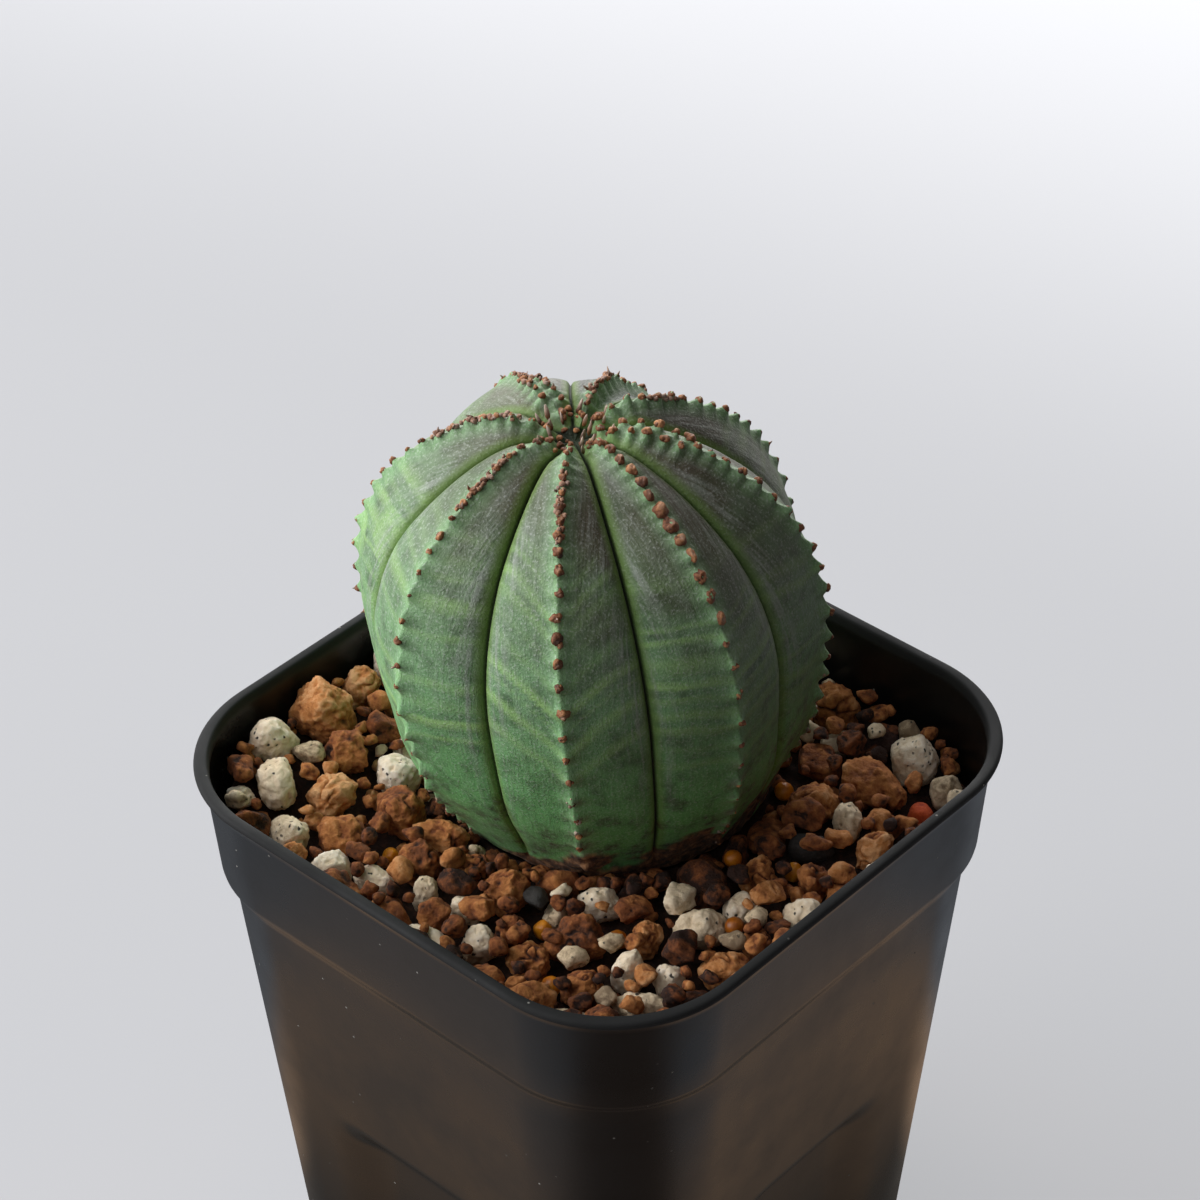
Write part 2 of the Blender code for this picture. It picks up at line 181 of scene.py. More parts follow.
def makeCamera():
    camera = bpy.data.objects.new("camera", bpy.data.cameras.new("camera"))
    bpy.context.scene.collection.objects.link(camera)
    around, up = math.radians(viewpoint["azimuth"]), math.radians(viewpoint["elevation"])
    right = Vector((math.cos(around), math.sin(around), 0.0))
    back = Vector((math.sin(around) * math.cos(up), -math.cos(around) * math.cos(up), math.sin(up)))
    turn = Matrix((right, back.cross(right), back)).transposed()
    turn = turn @ Matrix.Rotation(math.radians(viewpoint["roll"]), 3, "Z")
    camera.matrix_world = Matrix.Translation(viewpoint["place"]) @ turn.to_4x4()
    camera.data.lens = viewpoint["lens"]
    camera.data.sensor_width = 36.0
    camera.data.clip_start, camera.data.clip_end = 0.01, 50.0
    bpy.context.scene.camera = camera


studio = {
    "floor": "#808083",
    "floorGlow": "#f4f5f8", "nearGlow": 0.41, "farGlow": 0.80,     # painted light: the floor glows, more so far off, which also lightens the shadows on it
    "farDirection": (-0.234, 1.143, 0.0), "nearEdge": 0.20, "farEdge": 0.56,
    "roomColour": "#eef2f7", "roomShade": "#ad8f60",
    "roomTowards": (-0.71, -0.48, 0.50),  # the bright side of the room
    "roomStart": -0.35, "roomFull": 0.95, "roomDark": 0.05, "roomBright": 0.80, "tintFull": 0.4,
    # a big soft window on the left and a second, weaker one behind: place, size in metres, watts
    "windows": {"key": ((-1.15, -0.86, 0.86), 1.7, 33.5), "back": ((-0.92, 1.14, 0.66), 1.0, 20.0)},
    "windowsFace": (0.0, 0.0, 0.1),
    "floorHalf": 3.0, "tableHalf": 0.4, "tableLift": 0.0002,   # metres
    # painted reflection of a table in the pot's gloss, outwards in fifths of a metre: painted shade by the
    # pot, then brown, then grey
    "paintedTableReflectionTones": ((0.25, "#5c5752"), (0.32, "#c4a284"), (0.38, "#c4a284"), (0.46, "#868b93")),
    "shadeTowards": (0.74, -0.67, 0.0),
    # painted shadow of the pot on the table, behind it and in front
    "paintedTableShadows": ((-0.28, -0.72, "#54585e"), (0.80, 0.97, "#5c4d44")),
}


# a flat square of the stage
def addBoard(name, half, height, material):
    corners = [(x * half, y * half, 0) for x, y in ((-1, -1), (1, -1), (1, 1), (-1, 1))]
    mesh = bpy.data.meshes.new(name)
    mesh.from_pydata(corners, [], [(0, 1, 2, 3)])
    mesh.materials.append(material)
    board = bpy.data.objects.new(name, mesh)
    board.location.z = height
    bpy.context.scene.collection.objects.link(board)
    return board


# Painted reflection: a glowing card that lies just above the floor and is seen in glossy surfaces only.
def makePaintedReflectionCard():
    material, add, shader = newMaterial("glowingTableReflection")
    place = add("TexCoord", out="Object")
    sides = add("VectorMath", {"operation": "ABSOLUTE", 0: place})
    sides = add("SeparateXYZ", {0: sides}).node.outputs
    far = add("Math", {"operation": "MAXIMUM", 0: sides[0], 1: sides[1]})
    far = add("Math", {"operation": "MULTIPLY", 0: far, 1: 5.0})
    tone = add("ValToRGB", {"Fac": far, "stops": studio["paintedTableReflectionTones"]})
    towards = add("VectorMath", {"operation": "NORMALIZE", 0: place})
    towards = add("VectorMath", {"operation": "DOT_PRODUCT", 0: towards,
                                 1: studio["shadeTowards"]}, "Value")
    for start, full, colour in studio["paintedTableShadows"]:
        shade = add("MapRange", {"interpolation_type": "SMOOTHSTEP", "Value": towards, "From Min": start,
                                 "From Max": full})
        tone = add("Mix", {"data_type": "RGBA", 0: shade, 6: tone, 7: colour}, 2)
    # the card glows with the painted reflection and painted shadows; it is no lamp
    setNode(shader, {"Emission Color": tone, "Emission Strength": 1.0, "Base Color": "#000000",
                     "Roughness": 0.9})
    card = addBoard("paintedReflectionCard", studio["tableHalf"], studio["tableLift"], material)
    for ray in ("camera", "diffuse", "shadow", "transmission", "volume_scatter"):
        setattr(card, "visible_" + ray, False)


def makeStudio():
    material, add, shader = newMaterial("glowingFloorBoard")    # without a sheen; painted light: the board glows, brighter far off
    place = add("TexCoord", out="Object")
    far = add("VectorMath", {"operation": "DOT_PRODUCT", 0: place, 1: studio["farDirection"]}, "Value")
    far = add("MapRange", {"interpolation_type": "SMOOTHSTEP", "Value": far,
                           "From Min": studio["nearEdge"], "From Max": studio["farEdge"],
                           "To Min": studio["nearGlow"], "To Max": studio["farGlow"]})
    setNode(shader, {"Emission Strength": far, "Emission Color": studio["floorGlow"],
                     "Base Color": studio["floor"], "Roughness": 0.9, "Specular IOR Level": 0.2})
    floor = addBoard("floor", studio["floorHalf"], 0.0, material)
    floor.visible_diffuse = False         # the room's own glow stands for the floor's bounce
    makePaintedReflectionCard()

    world = bpy.data.worlds.new("softRoom")
    bpy.context.scene.world = world
    world.use_nodes = True
    add = partial(addNode, world.node_tree)
    towards = add("TexCoord", out="Generated")
    towards = add("VectorMath", {"operation": "DOT_PRODUCT", 0: towards, 1: studio["roomTowards"]}, "Value")
    glow = add("MapRange", {"interpolation_type": "SMOOTHSTEP", "Value": towards,
                            "From Min": studio["roomStart"], "From Max": studio["roomFull"],
                            "To Min": studio["roomDark"], "To Max": studio["roomBright"]})
    share = add("MapRange", {"Value": glow, "From Min": studio["roomDark"], "From Max": studio["tintFull"]})
    tint = add("Mix", {"data_type": "RGBA", 0: share, 6: studio["roomShade"], 7: studio["roomColour"]}, 2)
    setNode(world.node_tree.nodes["Background"], {"Strength": glow, "Color": tint})

    for name, (place, size, power) in studio["windows"].items():
        light = bpy.data.lights.new(name, "AREA")
        light.shape, light.size, light.energy = "SQUARE", size, power
        lamp = bpy.data.objects.new(name, light)
        lamp.location = place
        lamp.rotation_mode = "QUATERNION"
        lamp.rotation_quaternion = (Vector(studio["windowsFace"]) - Vector(place)).to_track_quat("-Z", "Y")
        bpy.context.scene.collection.objects.link(lamp)
    bpy.context.scene.view_settings.view_transform = "Standard"
    bpy.context.scene.view_settings.look = "None"


makeCamera()
makeStudio()
print("camera, floor and light are set")


plantShape = {                         # the same numbers as the solid's, in mm and degrees
    "ribAngles": (-53.7, -10.7, 33.0, 74.2, 111.0, 157.7, 213.3, 263.7),
    "ribSizes": (1.0, 1.0, 1.0, 1.0, 0.985, 0.98, 0.985, 1.025),
    "stemX": -6.05, "stemY": 8.3, "leanX": 0.029, "leanY": -0.125,
    "soilLine": -13.0, "evenHeight": 14.0,
    "crest": ((3.0, 48.6), (9.0, 50.4), (17.9, 46.7), (25.5, 40.1), (30.2, 31.0), (31.8, 21.0),
              (30.9, 10.9), (29.1, 0.7), (25.4, -7.8), (23.0, -13.0)),
    "groove": (0.6, 1.4, 2.4, 3.0, 2.9, 2.5, 1.9, 1.3, 0.7, 0.0),
    "flankShare": 0.72,                        # part of a groove's depth given by its flat flanks
    "root": ((17.0, -17.6), (8.0, -21.6), (4.6, -30.0), (2.4, -42.0)),
    "crownFloor": 47.6,
    "shallowAfter": 4, "shallowBy": 0.5,       # the groove that stays shallow near the crown
    "shallowFrom": 14.0, "shallowTo": 26.0,
    "flatBefore": 3, "flatBy": 1.0,            # the flank that falls away straight, and how far it is cut in
    "dropRib": 4, "dropBy": 1.5, "dropFromTo": (11.5, 18.0),
    "rowSpacing": 0.275, "stepsToGroove": 18,
    "slitDepth": 0.75, "slitWidth": 0.24,      # the fine crease at the bottom of each groove
    "ridge": 0.3,                              # how far a crest stands off its flanks
    # how much higher a growth band lies at the groove than at the crest, rib by rib
    "hang": (7.5, 1.5, 3.0, 3.5, 3.5, 3.5, 3.0, 1.8),
    "bandSpacing": (1.5, 4.9), "bandFrom": 23.0, "bandTo": 58.0, "bandSeed": 23,
    "paleRib": 6, "paleFrom": (14.0, 24.0), "paleTo": (44.0, 56.0),      # the flank that is blotched pale
    # how far below the lip's height the cork sets in
    "corkFromTo": (1.4, 12.4), "corkEdge": (0.72, 1.02),
    # cork at a crest's foot: rib, height, width, strength
    "corkPatches": ((0, 6.5, 5.5, 1.0), (1, 6.0, 7.0, 0.6)),
    "sunward": (0.62, 0.60, 0.50),             # flanks turned this way, away from the key light, turn purplish from the sun and darker as painted shade, the far ribs more
    # each rib's extra share of sun purple and painted shade
    "tannedAndShaded": (0.0, 0.0, 0.1, 0.25, 1.2, 0.4, 0.0, 0.0),
}
teethPlan = {                          # scars of old flower stalks, in mm
    "closeSpacing": 2.1,               # near the crown
    "wideSpacing": 4.3,                # at the widest part
    "footSpacing": 3.0,
    "reach": 0.85, "width": 1.5,
    "longRibs": {2: 1.35, 3: 1.5, 6: 1.2},       # ribs whose teeth stand out more
    "doubleRibs": {2: 13.0, 5: 11.0},  # ribs with a second row beside the crown, and how far down it goes
    "seed": 11,
}


def curveThrough(points, spacing):
    knots = np.array(points, float)
    knots = np.vstack([2 * knots[0] - knots[1], knots, 2 * knots[-1] - knots[-2]])
    fine = []
    for a, b, c, d in zip(knots, knots[1:], knots[2:], knots[3:]):
        for t in np.arange(12) / 12:
            fine.append(0.5 * (2 * b + (c - a) * t + (2 * a - 5 * b + 4 * c - d) * t * t
                               + (3 * b - a - 3 * c + d) * t ** 3))
    fine.append(knots[-2])
    fine = np.array(fine)
    lengths = np.concatenate([[0.0], np.cumsum(np.linalg.norm(np.diff(fine, axis=0), axis=1))])
    marks = np.linspace(0.0, lengths[-1], max(2, round(lengths[-1] / spacing)) + 1)
    return marks, np.column_stack([np.interp(marks, lengths, fine[:, k]) for k in range(fine.shape[1])])


crestPoints = [(*spot, depth) for spot, depth in zip(plantShape["crest"], plantShape["groove"])]
crestMarks, crestCurve = curveThrough(crestPoints, plantShape["rowSpacing"])
crestLength = crestMarks[-1]
crestSlope = np.gradient(crestCurve[:, :2], axis=0)
crestSlope /= np.linalg.norm(crestSlope, axis=1)[:, None]
crestNormal = np.column_stack([-crestSlope[:, 1], crestSlope[:, 0]])     # outward and upward parts
ribCount = len(plantShape["ribAngles"])


def leanAt(height):
    rise = np.maximum(height - plantShape["soilLine"], 0.0)
    return plantShape["stemX"] + plantShape["leanX"] * rise, plantShape["stemY"] + plantShape["leanY"] * rise


# how far the crest that points away from the front falls below the others once past its peak, in mm
def crestDrop(along):
    return plantShape["dropBy"] * smoothStep(along, *plantShape["dropFromTo"])


# place on the plant's crest or flank, from distances in mm: down from the crown, sideways, and off the skin
def onCrest(rib, along, across=0.0, lift=0.0):
    radius = np.interp(along, crestMarks, crestCurve[:, 0])
    height = np.interp(along, crestMarks, crestCurve[:, 1])
    normal = np.array([np.interp(along, crestMarks, crestNormal[:, k]) for k in (0, 1)])
    fade = min(max((height - plantShape["soilLine"]) / plantShape["evenHeight"], 0.0), 1.0)
    radius *= 1.0 + (plantShape["ribSizes"][rib] - 1.0) * fade
    swing = math.radians(plantShape["ribAngles"][rib]) + across / max(radius, 2.0)
    axisX, axisY = leanAt(height)
    drop = 0.07 * across * across + (crestDrop(along) if rib == plantShape["dropRib"] else 0.0)
    turn = np.array([math.cos(swing), math.sin(swing)])
    reach = radius + normal[0] * (lift - drop)
    place = np.array([axisX + reach * turn[0], axisY + reach * turn[1], height + normal[1] * (lift - drop)])
    outward = np.array([*(normal[0] * turn), normal[1]])
    down = np.array([*(-normal[1] * turn), -abs(normal[0])])
    if normal[0] < 0:
        down = -down
    down -= outward * down.dot(outward)
    return place, outward, down / np.linalg.norm(down)


# every tooth as (rib, along, across, reach, spacing)
def planTeeth():
    dice = np.random.RandomState(teethPlan["seed"])
    teeth = []
    for rib in range(ribCount):
        along = 0.7 + dice.uniform(0.0, 0.8)
        while along < crestLength - 3.0:
            share = along / crestLength
            wide = math.exp(-((share - 0.56) / 0.24) ** 2)
            base = teethPlan["closeSpacing"] if share < 0.56 else teethPlan["footSpacing"]
            spacing = base + (teethPlan["wideSpacing"] - base) * wide
            spacing *= dice.uniform(0.86, 1.16)
            reach = teethPlan["reach"] * dice.uniform(0.8, 1.15) * (0.75 + 0.25 * wide)
            reach *= teethPlan["longRibs"].get(rib, 1.0) * (1.0 + 0.7 * math.exp(-(along / 11.0) ** 2))
            sideways = dice.normal(0.0, 0.14)
            if 2.0 < along < teethPlan["doubleRibs"].get(rib, 0.0):
                teeth.append((rib, along, -1.1 - sideways, reach, spacing))
                teeth.append((rib, along + spacing * 0.5, 1.0 + sideways, reach, spacing))
            else:
                teeth.append((rib, along, sideways, reach, spacing))
            along += spacing
    return teeth


teeth = planTeeth()


# the skin's rows and columns: the plain stem at each point, and what the point is near
def plantGrid():
    steps = plantShape["stepsToGroove"]
    even = np.arange(steps) / steps
    # closer columns at crest and groove
    toGroove = even - 0.65 * np.sin(2 * math.pi * even) / (2 * math.pi)
    shares = np.concatenate([toGroove / 2, 1.0 - (toGroove / 2)[1:][::-1]])
    shares = np.insert(shares, steps, 0.5)
    columns = []
    for rib in range(ribCount):
        following = (rib + 1) % ribCount
        start = plantShape["ribAngles"][rib]
        span = (plantShape["ribAngles"][following] - start) % 360.0
        for share in shares:
            nearer, offset = (rib, share * span) if share <= 0.5 else (following, (share - 1.0) * span)
            columns.append((rib, following, nearer, share,
                            *map(math.radians, (start + span * share, offset, span))))
    grid = SimpleNamespace()
    numbers = np.array(columns).T
    grid.rib, following, grid.nearer = numbers[:3].astype(int)
    grid.share, grid.swing, offset, span = numbers[3:]
    grid.away = 1.0 - np.abs(2.0 * grid.share - 1.0)                # 0 on a crest, 1 in a groove
    radius, grid.height, grid.groove = (crestCurve[:, k][:, None] for k in range(3))
    grid.across = offset[None, :] * radius
    grid.toGroove = (span[None, :] / 2 - np.abs(offset)[None, :]) * radius
    grid.along = crestMarks[:, None] + 0.0 * grid.across
    sizes = np.array(plantShape["ribSizes"])
    fullness = sizes[grid.rib] + (sizes[following] - sizes[grid.rib]) * grid.share
    fade = np.clip((grid.height - plantShape["soilLine"]) / plantShape["evenHeight"], 0.0, 1.0)
    grid.radius = radius * (1.0 + (fullness[None, :] - 1.0) * fade)
    return grid


# how far the grooves, their creases, the flank that is cut in and the drooping rib lie under the plain stem
def grooveDepth(grid):
    shape, away = plantShape, grid.away
    nearCrown = smoothStep(-grid.along, -shape["shallowTo"], -shape["shallowFrom"])
    keptDepth = 1.0 - shape["shallowBy"] * ((grid.rib == shape["shallowAfter"])[None, :] * nearCrown)
    deepEnough = np.clip(grid.groove / 1.2, 0, 1)
    flat = shape["flankShare"]
    depth = grid.groove * (flat * away ** 1.2 + (1.0 - flat) * away ** 8) * keptDepth
    slit = np.exp(-(grid.toGroove / shape["slitWidth"]) ** 2) + 0.35 * np.exp(-grid.toGroove / 0.6)
    depth = depth + shape["slitDepth"] * deepEnough * slit * keptDepth
    straight = ((grid.rib == shape["flatBefore"]) & (grid.share > 0.5))[None, :] * nearCrown
    depth = depth + shape["flatBy"] * straight * np.sin(math.pi * np.clip(1.1 * away, 0.0, 1.0)) * deepEnough
    depth = depth + shape["ridge"] * (1.0 - np.exp(-np.abs(grid.across) / 1.1)) * deepEnough
    return depth + (grid.nearer == shape["dropRib"])[None, :] * crestDrop(grid.along) * (1.0 - away ** 2)


# how far the teeth stand off the skin, and how much of a point is tooth
def toothRelief(grid):
    lift, tooth = np.zeros_like(grid.across), np.zeros_like(grid.across)
    for rib, at, sideways, reach, spacing in teeth:
        rows = np.abs(crestMarks - at) < spacing
        block = np.ix_(rows, grid.nearer == rib)
        down = crestMarks[rows][:, None] - at
        side = grid.across[block] - sideways
        ramp = down / (np.where(down < 0, 0.72, 0.46) * spacing)            # long above, short below
        scallop = np.cos(np.clip(ramp, -1, 1) * math.pi / 2) ** 1.5
        broad = reach * 0.55 * scallop * np.exp(-(np.abs(side) / teethPlan["width"]) ** 1.6)
        point = min(0.26 * spacing, 0.8)
        cone = reach * 0.6 * np.exp(-((down / point) ** 2 + (side / 0.72) ** 2))
        lift[block] = np.maximum(lift[block], broad + cone)
        tooth[block] = np.maximum(tooth[block], np.exp(-((down / 1.0) ** 2 + (side / 1.3) ** 2)))
    return lift, tooth


# arcs across each rib, one for each spell of growth: 1 on a light one, -1 on a dark one
def growthBands(hang, nearer):
    dice = np.random.RandomState(plantShape["bandSeed"])
    start, end = plantShape["bandFrom"], plantShape["bandTo"]
    strength = np.zeros_like(hang)
    for rib in range(ribCount):
        mine = nearer == rib
        marks = [start - 8.0]
        while marks[-1] < end + 8.0:
            marks.append(marks[-1] + dice.uniform(*plantShape["bandSpacing"]) / 2)
        turns = np.where(np.arange(len(marks)) % 2, 1.0, -0.9) * dice.uniform(0.1, 1.0, len(marks)) ** 2.0
        at = hang[:, mine]
        inside = smoothStep(at, start - 7.0, start + 7.0) * smoothStep(-at, -end - 5.0, -end + 9.0)
        value = np.interp(at, marks, turns)
        strength[:, mine] = np.sign(value) * np.abs(value) ** 0.7 * inside
    return strength


# growth bands, which hang lowest on the crests, and the pale blotches on one flank
def skinBands(grid, spots):
    hangs = np.array(plantShape["hang"])[grid.nearer][None, :]
    hang = grid.along + hangs * (1.0 - (1.0 - grid.away[None, :]) ** 1.8) + 0.5 * softNoise(spots, 4.0, 21)
    blotch = smoothStep(layeredNoise(spots, ((1.0, 3.2, 29), (0.5, 1.4, 30))), 0.0, 0.7)
    pale = (grid.nearer == plantShape["paleRib"])[None, :] * smoothStep(grid.along, *plantShape["paleFrom"])
    pale = pale * (1.0 - smoothStep(grid.along, *plantShape["paleTo"]))
    return np.maximum(growthBands(hang, grid.nearer), 0.75 * blotch * pale)


# how corky each point of the foot is, and how far the cork swells there
def corkFoot(grid, spots):
    low = smoothStep(-grid.height, *plantShape["corkFromTo"])
    patches = layeredNoise(spots, ((1.0, 5.0, 22), (0.6, 2.0, 23)))
    upCrests = []
    for rib, tall, wide, strength in plantShape["corkPatches"]:
        aside = np.where(grid.nearer == rib, grid.across, 99.0) / wide
        upCrests.append(strength * np.exp(-((grid.along - crestLength + 2.0) / tall) ** 2 - aside ** 2))
    ragged = 0.3 + 0.5 * smoothStep(low, 0.0, 0.35)                 # its upper edge breaks into islands
    cork = smoothStep(low * 1.08 + ragged * patches + sum(upCrests), *plantShape["corkEdge"])
    swell = layeredNoise(spots, ((0.22, 1.1, 26), (0.12, 0.6, 27))) + 0.05 + 0.8 * upCrests[0]
    return cork, cork * swell


# rings of the sunken crown, drawn in from the skin's first row
def crownRings(first):
    floor = plantShape["crownFloor"]
    rings = []
    for part in (0.12, 0.4, 0.7):
        ring = first * part + np.array([*leanAt(floor), 0.0]) * (1 - part)
        ring[:, 2] = floor + (first[:, 2] - floor) * part ** 1.5
        rings.append(ring)
    return np.array(rings)


# round rings of the root, below the skin's last row
def rootRings(swing):
    turn = np.column_stack([np.cos(swing), np.sin(swing)])
    middle = np.array([plantShape["stemX"], plantShape["stemY"]])
    outline = curveThrough(plantShape["crest"][-1:] + plantShape["root"], 4.0)[1][1:]
    return np.array([np.column_stack([middle + wide * turn, np.full(len(swing), deep)])
                     for wide, deep in outline])


def buildPlant(material):
    grid = plantGrid()
    axisX, axisY = leanAt(grid.height)
    turnX, turnY = np.cos(grid.swing), np.sin(grid.swing)
    plainX = axisX + grid.radius * turnX
    spots = np.stack([plainX, axisY + grid.radius * turnY, grid.height + 0.0 * plainX], axis=-1)
    lift, tooth = toothRelief(grid)
    bands = skinBands(grid, spots)
    cork, roughCork = corkFoot(grid, spots)
    lumps = layeredNoise(spots, ((0.22, 9.0, 24), (0.05, 2.2, 25))) + 0.06 * bands
    offSkin = lift - grooveDepth(grid) + lumps * (1.0 - 0.7 * np.exp(-grid.toGroove / 1.0)) + roughCork
    reach = grid.radius + crestNormal[:, :1] * offSkin
    points = np.stack([axisX + reach * turnX, axisY + reach * turnY,
                       grid.height + crestNormal[:, 1:] * offSkin], axis=-1)

    crown, root = crownRings(points[0]), rootRings(grid.swing)
    rings = np.concatenate([crown, points, root])
    count, wide = rings.shape[:2]
    index, faces = facesBetween(count, wide)
    faces = faces[:, ::-1].tolist()
    faces += [[index[0, i], index[0, (i + 1) % wide], count * wide] for i in range(wide)]
    faces += [[index[-1, (i + 1) % wide], index[-1, i], count * wide + 1] for i in range(wide)]
    floor = plantShape["crownFloor"]
    flat = np.vstack([rings.reshape(-1, 3), [*leanAt(floor), floor], [*rings[-1].mean(axis=0)]])
    flat[:, 2] += lipTop

    fields = {}
    for key, values, above, below in (
            ("along", grid.along, 0.0, crestLength + 8.0), ("across", grid.across, 0.0, 0.0),
            ("band", bands, 0.0, 0.0), ("ribNumber", grid.nearer[None, :] * 1.0, 0.0, 0.0),
            ("tooth", tooth, 0.0, 0.0), ("cork", cork, 0.0, 1.0),
            ("toGroove", grid.toGroove + 3.0 * (1.0 - np.clip(grid.groove / 0.6, 0, 1)), 0.0, 9.0)):
        body = np.broadcast_to(values, grid.across.shape).ravel()
        fields[key] = np.concatenate([np.full(len(crown) * wide, above), body,
                                      np.full(len(root) * wide, below), [above, below]])
    piece = meshObject("plant_skin", flat, faces, material, "plant_skin", fields)
    mesh = piece.data
    normals = np.zeros(len(mesh.vertices) * 3, np.float32)
    mesh.vertex_normals.foreach_get("vector", normals)
    # sun purple and painted shade: how far each point faces away from the key light, plus its rib's share
    sunward = normals.reshape(-1, 3) @ np.array(plantShape["sunward"])
    sunward += np.array(plantShape["tannedAndShaded"])[fields["ribNumber"].astype(int)]
    mesh.attributes.new("sunward", "FLOAT", "POINT").data.foreach_set("value", sunward.astype(np.float32))
    return piece


skinLook = {
    "downGreens": ((0.1, "#66795a"), (0.5, "#7dac76"), (0.85, "#6bb466")),     # from the crown to the foot
    "darkGreen": "#344f30", "bandGreen": "#a9d880", "crestGreen": "#92c388", "grooveGreen": "#74943f",
    "sunPurple": "#5c5243", "sunDark": "#2e2a29", "greyBloom": "#b0b5ad", "whiteBloom": "#e2e6df",
    # crease is painted shade: nearly black for the fine crease at each groove's floor
    "crease": "#1b2613", "scarGrey": "#75645c", "footBrown": "#43302b",
    "corks": ((0.3, "#241513"), (0.5, "#69452f"), (0.72, "#b08058")),
    "bloomByGroove": ((0.0, 0.0), (0.1, 0.5), (0.2, 1.0), (0.42, 0.3), (1.0, 0.16)),     # cm from the groove
    "streakWidth": 0.42,               # mm across the lengthwise streaks
    # name: mm between its clouds or granules, detail, roughness
    "noises": {"cloud": (8.0, 4.0, 0.5), "mottle": (3.2, 5.0, 0.6), "fine": (1.1, 4.0, 0.5),
               "grain": (0.35, 2.0, 0.6)},
    # name: what it reads, from where to where (mm for places), the share it gives at each end
    "masks": {
        "down": ("along", 0.0, 82.0, 0.0, 1.0),
        "dark": ("mottle", 0.44, 0.66, 0.0, 0.65),
        "broken": ("mottle", 0.3, 0.56, 0.45, 1.0),
        "between": ("band", 0.0, -1.0, 0.0, 0.9),
        "upper": ("along", 62.0, 14.0, 0.0, 1.0),
        "sun": ("sunward", -0.15, 0.8, 0.38, 1.0),
        "cloudy": ("cloud", 0.32, 0.55, 0.5, 1.0),
        "deepSun": ("sunward", 0.6, 1.4, 0.0, 0.8),
        "nearCrest": ("offCrest", 2.6, 0.6, 0.0, 0.55),
        "bloom": ("streak", 0.44, 0.62, 0.0, 1.0),
        "bloomFade": ("along", 68.0, 40.0, 0.12, 0.62),
        "offCrown": ("along", 6.0, 24.0, 0.3, 1.0),
        "specks": ("grain", 0.54, 0.7, 0.0, 0.28),
        "pores": ("grain", 0.46, 0.3, 0.0, 0.3),
        "nearGroove": ("toGroove", 1.5, 0.5, 0.0, 0.6),
        "inCrease": ("toGroove", 0.34, 0.1, 0.0, 0.95),
        "lowDown": ("along", 50.0, 62.0, 0.0, 0.85),
        "flaky": ("fine", 0.4, 0.56, 0.0, 1.0),
        "blotch": ("mottle", 0.54, 0.64, 0.0, 0.7),
        "nearFoot": ("along", 57.0, 72.0, 0.0, 1.0),
        "rough": ("fine", 0.3, 0.7, 0.46, 0.64),
    },
    # each colour laid over the ones before it, and the masks whose product is its share
    "layers": (
        ("darkGreen", "dark"),
        ("bandGreen", "band", "broken"),         # thin light arcs of growth, broken up a little
        ("darkGreen", "between"),
        ("sunPurple", "sun", "upper", "cloudy"), # purplish where the sun reached, and painted shade on the flanks turned from the key light, more towards the crown
        # painted shade, with some sun purple-brown: darker still where the flanks turn furthest from the key
        # light
        ("sunDark", "deepSun", "upper"),
        ("crestGreen", "crestShare"),            # pale along each crest and round its teeth
        ("greyBloom", "bloom", "bloomFade", "offGroove", "offCrown"),
        ("whiteBloom", "specks"),                # tiny granules of wax
        ("darkGreen", "pores"),
        ("grooveGreen", "nearGroove"),
        # painted shade: nearly black along the fine crease at each groove's floor
        ("crease", "inCrease"),
        ("scarGrey", "lowDown", "flaky", "tooth"),
        ("footBrown", "blotch", "nearFoot", "flaky"),    # where the cork is starting, above the foot
    ),
}


